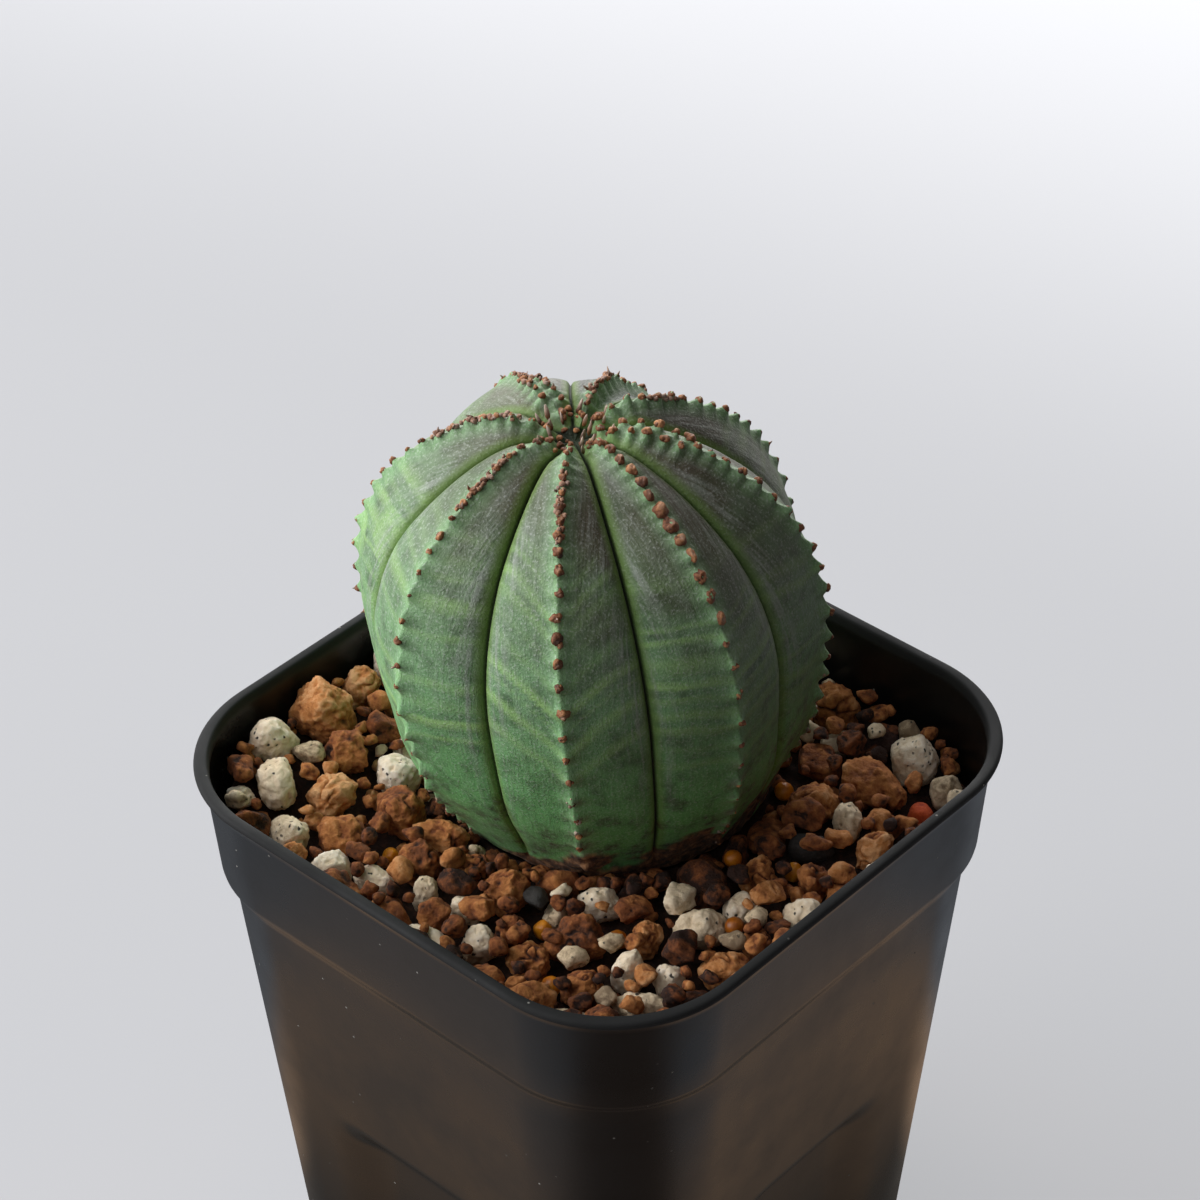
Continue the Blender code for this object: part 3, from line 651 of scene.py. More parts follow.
# Waxy epidermis of a living succulent: a dull bloom over green tissue, so the gloss is broad and weak,
# with growth bands across each rib, fine streaks down it, and sun purple with painted shade on the far flanks.
def livingEpidermis():
    material, add, shader = newMaterial("livingEpidermis")
    read = {key: add("Attribute", {"attribute_name": key}, "Fac")
            for key in ("along", "across", "band", "ribNumber", "tooth", "cork", "toGroove", "sunward")}
    place = add("TexCoord", out="Object")
    for key, (size, detail, rough) in skinLook["noises"].items():
        read[key] = add("TexNoise", {"Vector": place, "Scale": perMm(size), "Detail": detail,
                                     "Roughness": rough})
    # lengthwise streaks: one noise pulled out along the rib
    ribShift = add("Math", {"operation": "MULTIPLY", 0: read["ribNumber"], 1: 13.7})
    slow = add("Math", {"operation": "MULTIPLY", 0: read["along"], 1: 0.07})
    streakAt = add("CombineXYZ", {"X": read["across"], "Y": slow, "Z": ribShift})
    read["streak"] = add("TexNoise", {"Vector": streakAt, "Scale": 0.6 / skinLook["streakWidth"],
                                      "Detail": 4.0, "Roughness": 0.65})
    read["offCrest"] = add("Math", {"operation": "ABSOLUTE", 0: read["across"]})
    for key, (source, start, end, least, most) in skinLook["masks"].items():
        read[key] = add("MapRange", {"Value": read[source], "From Min": start, "From Max": end,
                                     "To Min": least, "To Max": most})
    crest = add("Math", {"operation": "MAXIMUM", 0: read["nearCrest"], 1: read["tooth"]})
    read["crestShare"] = add("Math", {"operation": "MULTIPLY", 0: crest, 1: 0.75})
    offGroove = add("Math", {"operation": "MULTIPLY", 0: read["toGroove"], 1: 0.1})
    read["offGroove"] = add("ValToRGB", {"Fac": offGroove, "stops": skinLook["bloomByGroove"]})

    tissue = add("ValToRGB", {"Fac": read["down"], "stops": skinLook["downGreens"]})
    for colour, *masks in skinLook["layers"]:
        share = read[masks[0]]
        for mask in masks[1:]:
            share = add("Math", {"operation": "MULTIPLY", 0: share, 1: read[mask]})
        tissue = add("Mix", {"data_type": "RGBA", 0: share, 6: tissue, 7: skinLook[colour]}, 2)
    cork = add("ValToRGB", {"Fac": read["fine"], "stops": skinLook["corks"]})
    tissue = add("Mix", {"data_type": "RGBA", 0: read["cork"], 6: tissue, 7: cork}, 2)
    rough = add("Mix", {"data_type": "FLOAT", 0: read["cork"], 2: read["rough"], 3: 0.9})
    bump = add("Bump", {"Strength": 0.5, "Distance": 0.00025, "Height": read["grain"]})
    bump = add("Bump", {"Strength": 0.3, "Distance": 0.0004, "Height": read["streak"], "Normal": bump})
    # the bloom pales at a grazing angle
    setNode(shader, {"Base Color": tissue, "Roughness": rough, "Normal": bump, "IOR": 1.45,
                     "Sheen Weight": 0.12, "Sheen Roughness": 0.4, "Sheen Tint": "#e9e1cc"})
    return material


skin = livingEpidermis()
plant = buildPlant(skin)
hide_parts("plant")
print("plant skin:", len(plant.data.polygons), "faces,", len(teeth), "teeth")


stalkPlan = {                          # mm
    "knob": 0.5,                       # radius
    # ribs with fuller knobs: their radius, and how far down the fullest is
    "bigKnobs": {1: (0.98, 21.0), 0: (0.84, 32.0), 7: (0.56, 24.0), 2: (0.62, 20.0)},
    # ribs with a crust of crumbs, from where to where
    "crusts": {7: (7.0, 19.0), 6: (5.0, 19.0), 5: (7.0, 16.0), 3: (8.0, 13.0), 4: (5.0, 13.0),
               0: (8.0, 19.0)},
    "knobSpread": 17.0, "shrunkAfter": 0.68,
    "scab": (0, 48.0, 5.6, -1.6), "scabSize": 0.22,      # one stray scab on the front flank
    "crownBits": 46, "crownSpread": 4.6, "goldenAngle": 2.39996,
    "seed": 31,
}
stalkLook = {
    "tones": ((0.22, "#3a2013"), (0.52, "#7c4a2e"), (0.85, "#bd8355")), "ash": "#cdb7a8",
    "grain": 0.3,                      # mm
}


# Dried, shrunken flower stalk: dead fibrous tissue, orange-brown outside with an ashen broken tip, no shine.
def driedStalk():
    material, add, shader = newMaterial("driedStalk")
    place = add("TexCoord", out="Object")
    grain = add("TexNoise", {"Vector": place, "Scale": perMm(stalkLook["grain"]), "Detail": 4.0})
    shade = add("Attribute", {"attribute_name": "shade"}, "Fac")
    ash = add("Attribute", {"attribute_name": "ash"}, "Fac")
    mixed = add("Math", {"operation": "MULTIPLY_ADD", 0: grain, 1: 0.55, 2: shade})
    tone = add("ValToRGB", {"Fac": mixed, "stops": stalkLook["tones"]})
    tone = add("Mix", {"data_type": "RGBA", 0: ash, 6: tone, 7: stalkLook["ash"]}, 2)
    bump = add("Bump", {"Strength": 0.6, "Distance": 0.0002, "Height": grain})
    setNode(shader, {"Base Color": tone, "Roughness": 0.62, "IOR": 1.45, "Normal": bump})
    return material


# gathers many small closed shapes into one mesh
class Heap:
    def __init__(self):
        self.points, self.faces, self.fields, self.total = [], [], {}, 0

    def add(self, points, faces, **fields):
        self.points.append(points)
        self.faces.append(faces + self.total)
        for key, value in fields.items():
            self.fields.setdefault(key, []).append(np.broadcast_to(value, len(points)))
        self.total += len(points)

    def build(self, name, material, slot):
        points = np.vstack(self.points)
        points[:, 2] += lipTop
        fields = {key: np.concatenate(parts) for key, parts in self.fields.items()}
        return meshObject(name, points, np.vstack(self.faces), material, slot, fields)


def addKnob(heap, place, outward, down, radius, dice, ball=smallBall, ashes=0.0):
    points, faces = ball
    outward = outward / np.linalg.norm(outward)
    down = down - outward * down.dot(outward)
    down = down / np.linalg.norm(down)
    axes = np.column_stack([np.cross(outward, down), down, outward])
    spots = points + dice.uniform(0, 20, 3)
    lumps = layeredNoise(spots, ((0.34, 0.9, 41), (0.16, 0.4, 42)))
    shape = points * (1.0 + lumps)[:, None]
    shape[:, :2] *= 1.0 - 0.3 * np.clip(points[:, 2:], 0.0, 1.0)    # blunt, with a small scar sunk in its tip
    shape[:, 2] -= 0.3 * smoothStep(points[:, 2], 0.8, 1.0)
    stretch = np.array([dice.uniform(0.75, 1.1), dice.uniform(0.8, 1.25), dice.uniform(0.8, 1.15)]) * radius
    shape = (shape * stretch) @ axes.T + place
    ashy = np.maximum(0.4 * smoothStep(points[:, 2], 0.75, 1.0) * dice.uniform(0.0, 1.0), ashes)
    shade = np.clip(dice.normal(0.2, 0.1), 0.0, 0.5) + 0.16 * points[:, 2] + 0.5 * lumps
    heap.add(shape, faces, shade=shade, ash=ashy)


# a short dried stub or splinter: a narrow pointed ball leaning off the skin
def addStub(heap, place, direction, length, radius, dice, ash):
    points, faces = crumbBall
    direction = direction / np.linalg.norm(direction)
    helper = np.array([0.3, 0.5, 0.8]) if abs(direction[2]) > 0.9 else np.array([0.0, 0.0, 1.0])
    side = np.cross(direction, helper)
    side /= np.linalg.norm(side)
    axes = np.column_stack([side, np.cross(direction, side), direction])
    rise = points[:, 2] * 0.5 + 0.5
    waist = 1.0 - 0.55 * rise + 0.25 * softNoise(points + dice.uniform(0, 20, 3), 0.6, 43)
    shape = points.copy()
    shape[:, :2] *= waist[:, None] * radius
    shape[:, 0] *= dice.uniform(0.5, 1.0)
    shape[:, 2] = rise * length
    shape[:, 0] += 0.2 * length * rise ** 2 * dice.uniform(-1, 1)
    heap.add(shape @ axes.T + place, faces, shade=np.clip(dice.normal(0.2, 0.12), 0, 0.5),
             ash=ash * smoothStep(rise, 0.2, 0.9))


def buildStalks(material):
    dice = np.random.RandomState(stalkPlan["seed"])
    pick = dice.uniform
    heap = Heap()
    for rib, along, across, reach, spacing in teeth:
        share = along / crestLength
        place, outward, down = onCrest(rib, along, across, reach * 0.95)
        full, fullAt = stalkPlan["bigKnobs"].get(rib, (stalkPlan["knob"], 30.0))
        size = stalkPlan["knob"]
        size += (full - size) * math.exp(-((along - fullAt) / stalkPlan["knobSpread"]) ** 2)
        size *= pick(0.78, 1.12) * (1.0 if share < 0.7 else 0.85)
        place = place - outward * (0.38 if share < 0.6 else 0.25) * size + down * 0.14 * size
        addKnob(heap, place, outward + 0.25 * down, down, size, dice)
        side = np.cross(outward, down)
        for _ in range(2 if size > 0.5 else 1):                # each dries into a few fused lobes
            spot = place + down * pick(-0.6, 0.7) * size + side * pick(-0.6, 0.6) * size
            addKnob(heap, spot, outward + down * pick(-0.5, 0.9), down, size * pick(0.45, 0.7), dice,
                    crumbBall)
        start, end = stalkPlan["crusts"].get(rib, (0.0, 0.0))
        if start < along < end:
            for _ in range(9):
                spot, out, low = onCrest(rib, along + pick(-1.2, 1.2), across + dice.normal(0.0, 0.22),
                                         reach * 0.45 + pick(0.0, 0.3))
                addKnob(heap, spot, out, low, pick(0.2, 0.42), dice, crumbBall, ashes=pick(0.0, 0.5))
            spot, out, low = onCrest(rib, along + pick(-1.0, 1.0), across + pick(-0.6, 0.6), reach * 0.6)
            lean = out + low * pick(-1.4, 1.4) + np.cross(out, low) * pick(-0.8, 0.8)
            addStub(heap, spot, lean, pick(0.7, 1.4), 0.26, dice, 0.5)
        elif share > stalkPlan["shrunkAfter"]:                    # old scars, shrunk to grey crumbs
            for _ in range(3):
                spot, out, low = onCrest(rib, along + pick(-0.9, 0.9), across + dice.normal(0.0, 0.3),
                                         reach * 0.5)
                addKnob(heap, spot, out, low, pick(0.16, 0.34), dice, crumbBall, ashes=pick(0.3, 1.0))
        elif pick() < 0.25:
            lean = outward + side * pick(-0.9, 0.9) + down * pick(-0.3, 0.7)
            addStub(heap, place, lean, pick(0.6, 1.0), 0.2, dice, 0.7)
    spot, out, low = onCrest(*stalkPlan["scab"])
    addKnob(heap, spot, out, low, stalkPlan["scabSize"], dice, crumbBall)
    return heap.build("flower_stalk_scars", material, "plant_skin")


def buildCrownBits(material):
    dice = np.random.RandomState(stalkPlan["seed"] + 1)
    pick = dice.uniform
    heap = Heap()
    crownX, crownY = leanAt(plantShape["crownFloor"])
    for number in range(stalkPlan["crownBits"]):
        out = 0.6 + stalkPlan["crownSpread"] * math.sqrt((number + 0.5) / stalkPlan["crownBits"])
        swing = number * stalkPlan["goldenAngle"] + pick(-0.3, 0.3)
        turn = np.array([math.cos(swing), math.sin(swing)])
        base = plantShape["crownFloor"] - 0.3 + 0.5 * min(out, 3.4)
        place = np.array([*(turn * out + (crownX, crownY)), base])
        lean = np.array([*(0.3 * turn), 1.0]) + pick(-0.3, 0.3, 3)
        if number % 3 == 0:
            addStub(heap, place, lean, pick(1.8, 2.6), pick(0.34, 0.46), dice, pick(0.75, 1.0))
        else:
            addKnob(heap, place + 0.3, lean, np.array([1.0, 0.2, 0.1]), pick(0.3, 0.55), dice)
    return heap.build("crown_splinters", material, "plant_skin")


stalkMaterial = driedStalk()
stalks = buildStalks(stalkMaterial)
buildCrownBits(stalkMaterial)
print("dried stalks:", len(stalks.data.polygons), "faces")


potShape = {                           # mm, the same numbers as the solid's
    "lipHalf": 45.0, "lipCorner": 20.05, "lipDepth": 1.2,
    "bandHalf": 44.1, "bandCorner": 19.8, "bandDepth": 17.5, "stepDepth": 1.6,
    "bodyHalf": 43.45, "bodyCornerShare": 0.465, "taper": 0.08,
    "height": 105.0, "wall": 0.8, "floor": 1.3,
    "recessEdge": 16.2, "recessFlat": 8.0, "recessTop": 53.0, "recessSlope": 4.5, "recessSink": 2.6,
    "drainRadius": 4.0, "drainSpread": 17.0,
    "cornerSteps": 30,
}


# 0 below 0, 1 above 1, with eased corners
def softClamp(value, ease):
    return smoothStep(value, -ease, 1.0 + ease)


def squareOutline(half, radius, sink):
    outline = []
    edge, flat = potShape["recessEdge"], potShape["recessFlat"]
    shifts = np.concatenate([np.linspace(-edge - 1.2, -flat + 1.2, 11), [-3.0, 0.0, 3.0],
                             np.linspace(flat - 1.2, edge + 1.2, 11)])
    for side in range(4):
        angle = side * math.pi / 2
        out = np.array([math.cos(angle), math.sin(angle)])
        sideways = np.array([-math.sin(angle), math.cos(angle)])
        for shift in shifts:
            inset = sink * softClamp((edge - abs(shift)) / (edge - flat), 0.12)
            outline.append(out * (half - inset) + sideways * shift)
        centre = (out + sideways) * (half - radius)
        for swing in angle + np.linspace(0.0, math.pi / 2, potShape["cornerSteps"] + 1):
            outline.append(centre + radius * np.array([math.cos(swing), math.sin(swing)]))
    return np.array(outline)


def bandRing(depth, inward=0.0):
    narrow = potShape["taper"] * depth + inward
    return potShape["bandHalf"] - narrow, potShape["bandCorner"] - narrow, 0.0, -depth


def wallRing(depth, inward=0.0):
    half = potShape["bodyHalf"] - potShape["taper"] * depth
    sink = potShape["recessSink"] * softClamp((depth - potShape["recessTop"]) / potShape["recessSlope"], 0.15)
    return half - inward, potShape["bodyCornerShare"] * half - inward, sink, -depth


# rings that turn softly from the body up into the band, drawn inward for the inner face
def stepRings(inward):
    low = np.array(wallRing(potShape["bandDepth"] + potShape["stepDepth"] + 0.6, inward))
    rise = bandRing(potShape["bandDepth"] - 0.5, inward) - low
    rings = []
    for share in (0.0, 0.16, 0.34, 0.52, 0.7, 0.86, 1.0):
        turn = share * share * (3.0 - 2.0 * share)
        half, radius, _, height = low + rise * (turn, turn, 0.0, share)
        rings.append((half, radius, 0.0, height))
    return rings


# rings as (half width, corner radius, how far the panels are sunk, height), from the foot up and over the lip
def potRings():
    shape = potShape
    foot, wall = shape["height"], shape["wall"]
    recess = np.linspace(shape["recessTop"] - 1.0, shape["recessTop"] + shape["recessSlope"] + 1.0, 9)
    half, radius, sink, _ = wallRing(foot)
    rings = [(half - pull, radius - pull, sink, lift - foot)
             for pull, lift in ((0.8, 0.0), (0.25, 0.12), (0.03, 0.5))]
    rings += [wallRing(d) for d in (foot - 0.9, 99.0, 85.0, 72.0, 62.0, *recess[::-1],
                                    45.0, 36.0, 28.0, 23.0)]
    rings += stepRings(0.0)
    rings += [bandRing(d) for d in (12.0, 7.0, 3.0, shape["lipDepth"] + 0.3)]
    inside, corner = shape["bandHalf"] - wall, shape["bandCorner"] - wall
    for half, radius, steps in (
            (shape["lipHalf"], shape["lipCorner"],
             ((0.75, 1.32), (0.5, 1.26), (0.3, 1.16), (0.12, 0.98), (0.02, 0.74), (0.0, 0.56),
              (0.04, 0.36), (0.16, 0.18), (0.34, 0.05), (0.6, 0.0), (0.95, 0.0))),
            (inside, corner, ((-0.4, 0.02), (-0.22, 0.1), (-0.1, 0.25), (-0.03, 0.5)))):
        rings += [(half - pull, radius - pull, 0.0, -depth) for pull, depth in steps]
    rings += [bandRing(d, wall) for d in (1.5, 5.0, 11.0)]
    rings += stepRings(wall)[::-1]
    rings += [wallRing(d, wall) for d in (21.6, 36.0, 50.0, *recess[::2], 80.0, foot - shape["floor"] - 0.6)]
    rings.append(wallRing(foot - shape["floor"], wall + 0.5))
    return rings


def buildPot(material):
    loops = []
    for half, radius, sink, height in potRings():
        outline = squareOutline(half, radius, sink)
        loops.append(np.column_stack([outline, np.full(len(outline), height)]))
    index, faces = facesBetween(len(loops), len(loops[0]))
    faces = faces.tolist() + [index[0][::-1].tolist(), index[-1].tolist()]
    points = np.vstack(loops)
    points[:, 2] += lipTop
    pot = meshObject("pot_body", points, faces, material, "pot")
    bm = bmesh.new()
    turns = [math.pi / 4 * number for number in (1, 3, 5, 7)]
    spread = potShape["drainSpread"]
    places = [(0.0, 0.0)] + [(spread * math.cos(turn), spread * math.sin(turn)) for turn in turns]
    radius = potShape["drainRadius"] * 0.001
    for x, y in places:
        made = bmesh.ops.create_cone(bm, cap_ends=True, segments=40, radius1=radius, radius2=radius,
                                     depth=0.01)
        bmesh.ops.translate(bm, verts=made["verts"], vec=Vector((x * 0.001, y * 0.001, 0.0)))
    cutterMesh = bpy.data.meshes.new("drains")
    bm.to_mesh(cutterMesh)
    bm.free()
    cutter = bpy.data.objects.new("drains", cutterMesh)
    bpy.context.scene.collection.objects.link(cutter)
    cut = pot.modifiers.new("drains", "BOOLEAN")
    cut.operation, cut.solver, cut.object = "DIFFERENCE", "EXACT", cutter
    ready = bpy.data.meshes.new_from_object(pot.evaluated_get(bpy.context.evaluated_depsgraph_get()))
    pot.modifiers.clear()
    pot.data = ready
    bpy.data.objects.remove(cutter)
    return pot


potLook = {
    "black": "#0a0a0b", "worn": "#121212", "dust": "#8d8a84",
    "satin": 0.3,                      # roughness of the moulded face
    "scuffed": 0.5,                    # how much rougher hands have made the lip
    "scuffFrom": 0.1030, "scuffTo": 0.1040,     # height in m
    "grain": 0.5,                      # mm, the mould's fine texture, drawn a little coarse so that it shows
    "speck": 2.6,                      # mm between dust specks
}


# Injection-moulded black polypropylene: a satin skin with soft broad reflections, mottled a little
# by handling, with a few specks of dust.
def mouldedPolypropylene():
    material, add, shader = newMaterial("mouldedPolypropylene")
    place = add("TexCoord", out="Object")
    cloud = add("TexNoise", {"Vector": place, "Scale": perMm(16.0), "Detail": 5.0, "Roughness": 0.6})
    grain = add("TexNoise", {"Vector": place, "Scale": perMm(potLook["grain"]), "Detail": 2.0})
    rare = add("TexNoise", {"Vector": place, "Scale": perMm(9.0), "Detail": 2.0})
    rare = add("MapRange", {"Value": rare, "From Min": 0.5, "From Max": 0.58})
    specks = add("TexVoronoi", {"Vector": place, "Scale": perMm(potLook["speck"]), "Randomness": 1.0})
    small = add("MapRange", {"Value": specks, "From Min": 0.075, "From Max": 0.045})
    dust = add("Math", {"operation": "MULTIPLY", 0: small, 1: rare})
    tone = add("Mix", {"data_type": "RGBA", 0: cloud, 6: potLook["black"], 7: potLook["worn"]}, 2)
    tone = add("Mix", {"data_type": "RGBA", 0: dust, 6: tone, 7: potLook["dust"]}, 2)
    rough = add("MapRange", {"Value": cloud, "From Min": 0.35, "From Max": 0.68,
                             "To Min": potLook["satin"] - 0.06, "To Max": potLook["satin"] + 0.1})
    height = add("SeparateXYZ", {0: place}, "Z")
    lip = add("MapRange", {"Value": height, "From Min": potLook["scuffFrom"],
                           "From Max": potLook["scuffTo"], "To Max": potLook["scuffed"]})
    rough = add("Math", {"operation": "ADD", 0: rough, 1: lip})
    rough = add("Mix", {"data_type": "FLOAT", 0: dust, 2: rough, 3: 0.85})
    bump = add("Bump", {"Strength": 0.12, "Distance": 0.00006, "Height": grain})
    setNode(shader, {"Base Color": tone, "Roughness": rough, "IOR": 1.49, "Normal": bump})
    return material


pot = buildPot(mouldedPolypropylene())
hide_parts("pot")
print("pot:", len(pot.data.polygons), "faces")


# what a stone has unless its own line says otherwise: sizes of pits and grains and depth of pits in mm
plainStone = {"pit": 1.0, "grain": 0.4, "pitDepth": 0.15, "swell": 1.05, "rough": 0.8, "lump": 0.05,
              "crack": 0.05, "edge": 9.0, "fleck": None, "bump": 0.5}
stoneLooks = {                         # tones run from dark to light
    # fired volcanic clay: matt, crumbly, full of pits, rust to tan
    "akadama": {"name": "bakedClayGranule", "tones": ("#2d150a", "#874b24", "#be7b42", "#dca876"), "pit": 1.1,
                "grain": 0.7, "pitDepth": 0.22, "swell": 1.08, "rough": 0.92, "lump": 0.14, "crack": 0.18,
                "edge": 18.0, "bump": 1.0},
    # foamy volcanic glass: chalky cream with dark mineral flecks
    "pumice": {"name": "crushedPumice", "tones": ("#8d775d", "#d5bd9b", "#ebd6b8", "#f8ebda"),
               "pitDepth": 0.16, "swell": 1.16, "rough": 0.85, "lump": 0.10, "edge": 10.0,
               "fleck": "#3b362e"},
    # resin shell over a round bead: smooth, amber, a soft shine
    "prill": {"name": "resinCoatedFertiliser", "tones": ("#8a4707", "#bf6c0e", "#d98a1e", "#eab25c"),
              "pit": 3.0, "grain": 0.5, "pitDepth": 0.0, "rough": 0.38, "lump": 0.03, "crack": 0.0,
              "bump": 0.15},
    # iron-red lava grit: rough and dull
    "scoria": {"name": "redScoria", "tones": ("#742008", "#bc4414", "#d25c24", "#dc7848")},
    # charred wood: black with a faint gloss on its breaks
    "charcoal": {"name": "horticulturalCharcoal", "tones": ("#0e0d0c", "#24201d", "#34302d", "#4c4643"),
                 "pit": 0.9, "pitDepth": 0.2, "rough": 0.7, "lump": 0.10, "crack": 0.12, "edge": 18.0,
                 "bump": 0.7},
}
stoneLooks = {kind: plainStone | look for kind, look in stoneLooks.items()}


def stoneMaterial(kind):
    look = stoneLooks[kind]
    material, add, shader = newMaterial(look["name"])
    place = add("TexCoord", out="Object")
    shade = add("Attribute", {"attribute_name": "shade"}, "Fac")
    hollow = add("Attribute", {"attribute_name": "hollow"}, "Fac")
    broad = add("TexNoise", {"Vector": place, "Scale": perMm(2.6), "Detail": 4.0})
    grain = add("TexNoise", {"Vector": place, "Scale": perMm(look["grain"]), "Detail": 5.0,
                             "Roughness": 0.65})
    mixed = shade
    # painted shade: pits and cracks are drawn darker
    for source, share in ((grain, 0.55), (broad, 0.45), (hollow, -0.45)):
        mixed = add("Math", {"operation": "MULTIPLY_ADD", 0: source, 1: share, 2: mixed})
    tone = add("ValToRGB", {"Fac": mixed, "stops": list(zip((0.12, 0.36, 0.6, 0.86), look["tones"]))})
    if look["fleck"]:
        warp = add("TexNoise", {"Vector": place, "Scale": perMm(0.7)}, "Color")
        warp = add("VectorMath", {"operation": "MULTIPLY_ADD", 0: warp, 1: (0.0006, 0.0006, 0.0006),
                                  2: place})
        cells = add("TexVoronoi", {"Vector": warp, "Scale": perMm(look["pit"])})
        dots = add("MapRange", {"Value": cells, "From Min": 0.3, "From Max": 0.18})
        rare = add("MapRange", {"Value": broad, "From Min": 0.5, "From Max": 0.55})
        dots = add("Math", {"operation": "MULTIPLY", 0: dots, 1: rare})
        tone = add("Mix", {"data_type": "RGBA", 0: dots, 6: tone, 7: look["fleck"]}, 2)
    bump = add("Bump", {"Strength": look["bump"], "Distance": 0.0005, "Height": grain})
    setNode(shader, {"Base Color": tone, "Roughness": look["rough"], "IOR": 1.5, "Normal": bump})
    return material


stoneMaterials = {kind: stoneMaterial(kind) for kind in stoneLooks}


# 1 along thin winding cracks, falling to 0 beside them
def crackField(points, size, seed):
    return np.clip(1.0 - np.abs(softNoise(points, size, seed)) / 0.16, 0.0, 1.0)


# how far a broken stone reaches along each ray: its flat faces with worn edges
def facetReach(rays, normals, offsets, edge):
    leans = np.clip(rays @ normals.T, 1e-4, None) / offsets
    return (leans ** edge).sum(axis=1) ** (-1.0 / edge)


# painted light: the grit is drawn paler towards the heap against the left wall
def paintedLightOnHeap(x):
    return 0.14 * float(smoothStep(-x, 8.0, 30.0))


# the solid's own faces, roughened with lumps, cracks and pits
def wornStone(name, kind, seed):
    mesh = nodes[name].data
    corners = np.array([v.co[:] for v in mesh.vertices]) * 1000
    least, most = corners.min(axis=0), corners.max(axis=0)
    centre, half = (least + most) / 2, (most - least) / 2
    normals = np.array([p.normal[:] for p in mesh.polygons])
    middles = np.array([p.center[:] for p in mesh.polygons]) * 1000 - centre
    offsets = np.clip(np.einsum("ij,ij->i", normals, middles), 0.2, None)
    look = stoneLooks[kind]
    ball, faces = fineBall if kind in ("akadama", "pumice") else mediumBall
    rays = ball * half
    rays /= np.linalg.norm(rays, axis=1)[:, None]
    reach = facetReach(rays, normals, offsets, look["edge"]) * look["swell"]
    size = half.mean()
    spots = rays * reach[:, None] + centre + seed * 3.1
    lumps = look["lump"] * layeredNoise(spots, ((1.0, size * 0.75, 51), (0.7, size * 0.3, 52),
                                                (0.4, 0.45, 53), (0.25, 0.24, 55)))
    pits = pitField(spots, look["pit"] * 1.5, 54, 0.38)
    cracks = crackField(spots, size * 0.55, 56) * smoothStep(softNoise(spots, size * 0.8, 57), -0.2, 0.5)
    reach = reach * (1.0 + lumps - look["crack"] * cracks) - look["pitDepth"] * pits
    points = rays * reach[:, None] + centre
    dice = np.random.RandomState(900 + seed)
    # stones on the heap are drawn paler: painted light
    shade = dice.uniform(-0.18, 0.18) + paintedLightOnHeap(centre[0]) + 1.1 * lumps
    # pits and cracks get painted shade in the material
    return meshObject("grit_" + name, points, faces, stoneMaterials[kind], kind,
                      {"shade": shade, "hollow": np.maximum(0.7 * pits, cracks * (look["crack"] > 0.1))})


stoneNames = sorted(n for n in nodes if n.rsplit("_", 1)[0] in stoneLooks)
stonePieces = []
for seed, name in enumerate(stoneNames):
    kind = name.rsplit("_", 1)[0]
    piece = wornStone(name, kind, seed)
    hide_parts(name)
    stonePieces.append(piece)
print("stones:", len(stonePieces))


bedPlan = {                            # mm
    "depth": 14.0, "heap": 4.5, "heapStart": 22.0, "heapEnd": 40.0,     # as the solid's
    "half": 46.0, "cell": 0.4,         # the map of how high the grains already lie
    "wallHalf": 42.1, "wallCorner": 18.0, "stemRadius": 23.0, "tryHalf": 43.0,
    "cover": 5.8, "coverAtStem": 1.2,  # loose grains over the bed
    "wallGap": 0.1, "flankGap": 0.85,  # least distance to the wall, and to the plant as a share of the reach
    "proud": 0.55, "sink": 0.1,        # shares of the radius: above the cover at most, and settled in
    "seed": 71, "shapes": 14, "flats": 9, "places": 26,
    # kind, largest and smallest radius, how many are tried
    "grains": (("akadama", 3.5, 2.8, 220), ("pumice", 2.9, 2.2, 60), ("akadama", 2.9, 2.2, 420),
               ("prill", 1.4, 1.25, 12), ("pumice", 2.1, 1.5, 70), ("charcoal", 2.4, 1.6, 10),
               ("akadama", 2.1, 1.4, 700), ("pumice", 1.3, 0.9, 20), ("akadama", 1.3, 0.8, 500)),
}


def bedHeight(x):
    return bedPlan["heap"] * smoothStep(-x, bedPlan["heapStart"], bedPlan["heapEnd"]) - bedPlan["depth"]


# how far inside a rounded square a point is, in mm; negative outside
def insideSquare(x, y, half, radius):
    dx = np.maximum(np.abs(x) - (half - radius), 0.0)
    dy = np.maximum(np.abs(y) - (half - radius), 0.0)
    corner = radius - np.hypot(dx, dy)
    return np.where((dx > 0) & (dy > 0), corner, half - np.maximum(np.abs(x), np.abs(y)))


def stemRadius(height):
    crest = np.array(plantShape["crest"][::-1])
    return np.interp(height, crest[:, 1][:8], crest[:, 0][:8])


# how high the bed and the named stones stand over each cell of the map
def bedMap():
    half, cell = bedPlan["half"], bedPlan["cell"]
    axis = np.arange(-half, half, cell)
    level = bedHeight(np.meshgrid(axis, axis, indexing="ij")[0]) + 0.3
    for piece in stonePieces:
        co = np.zeros(len(piece.data.vertices) * 3, np.float32)
        piece.data.vertices.foreach_get("co", co)
        co = co.reshape(-1, 3) * 1000
        i, j = ((co[:, k] + half) / cell for k in (0, 1))
        bare = 40.0 if "prill" in piece.name or "scoria" in piece.name else 0.0    # nothing lies over these
        np.maximum.at(level, (i.astype(int), j.astype(int)), co[:, 2] - lipTop + bare)
    return level


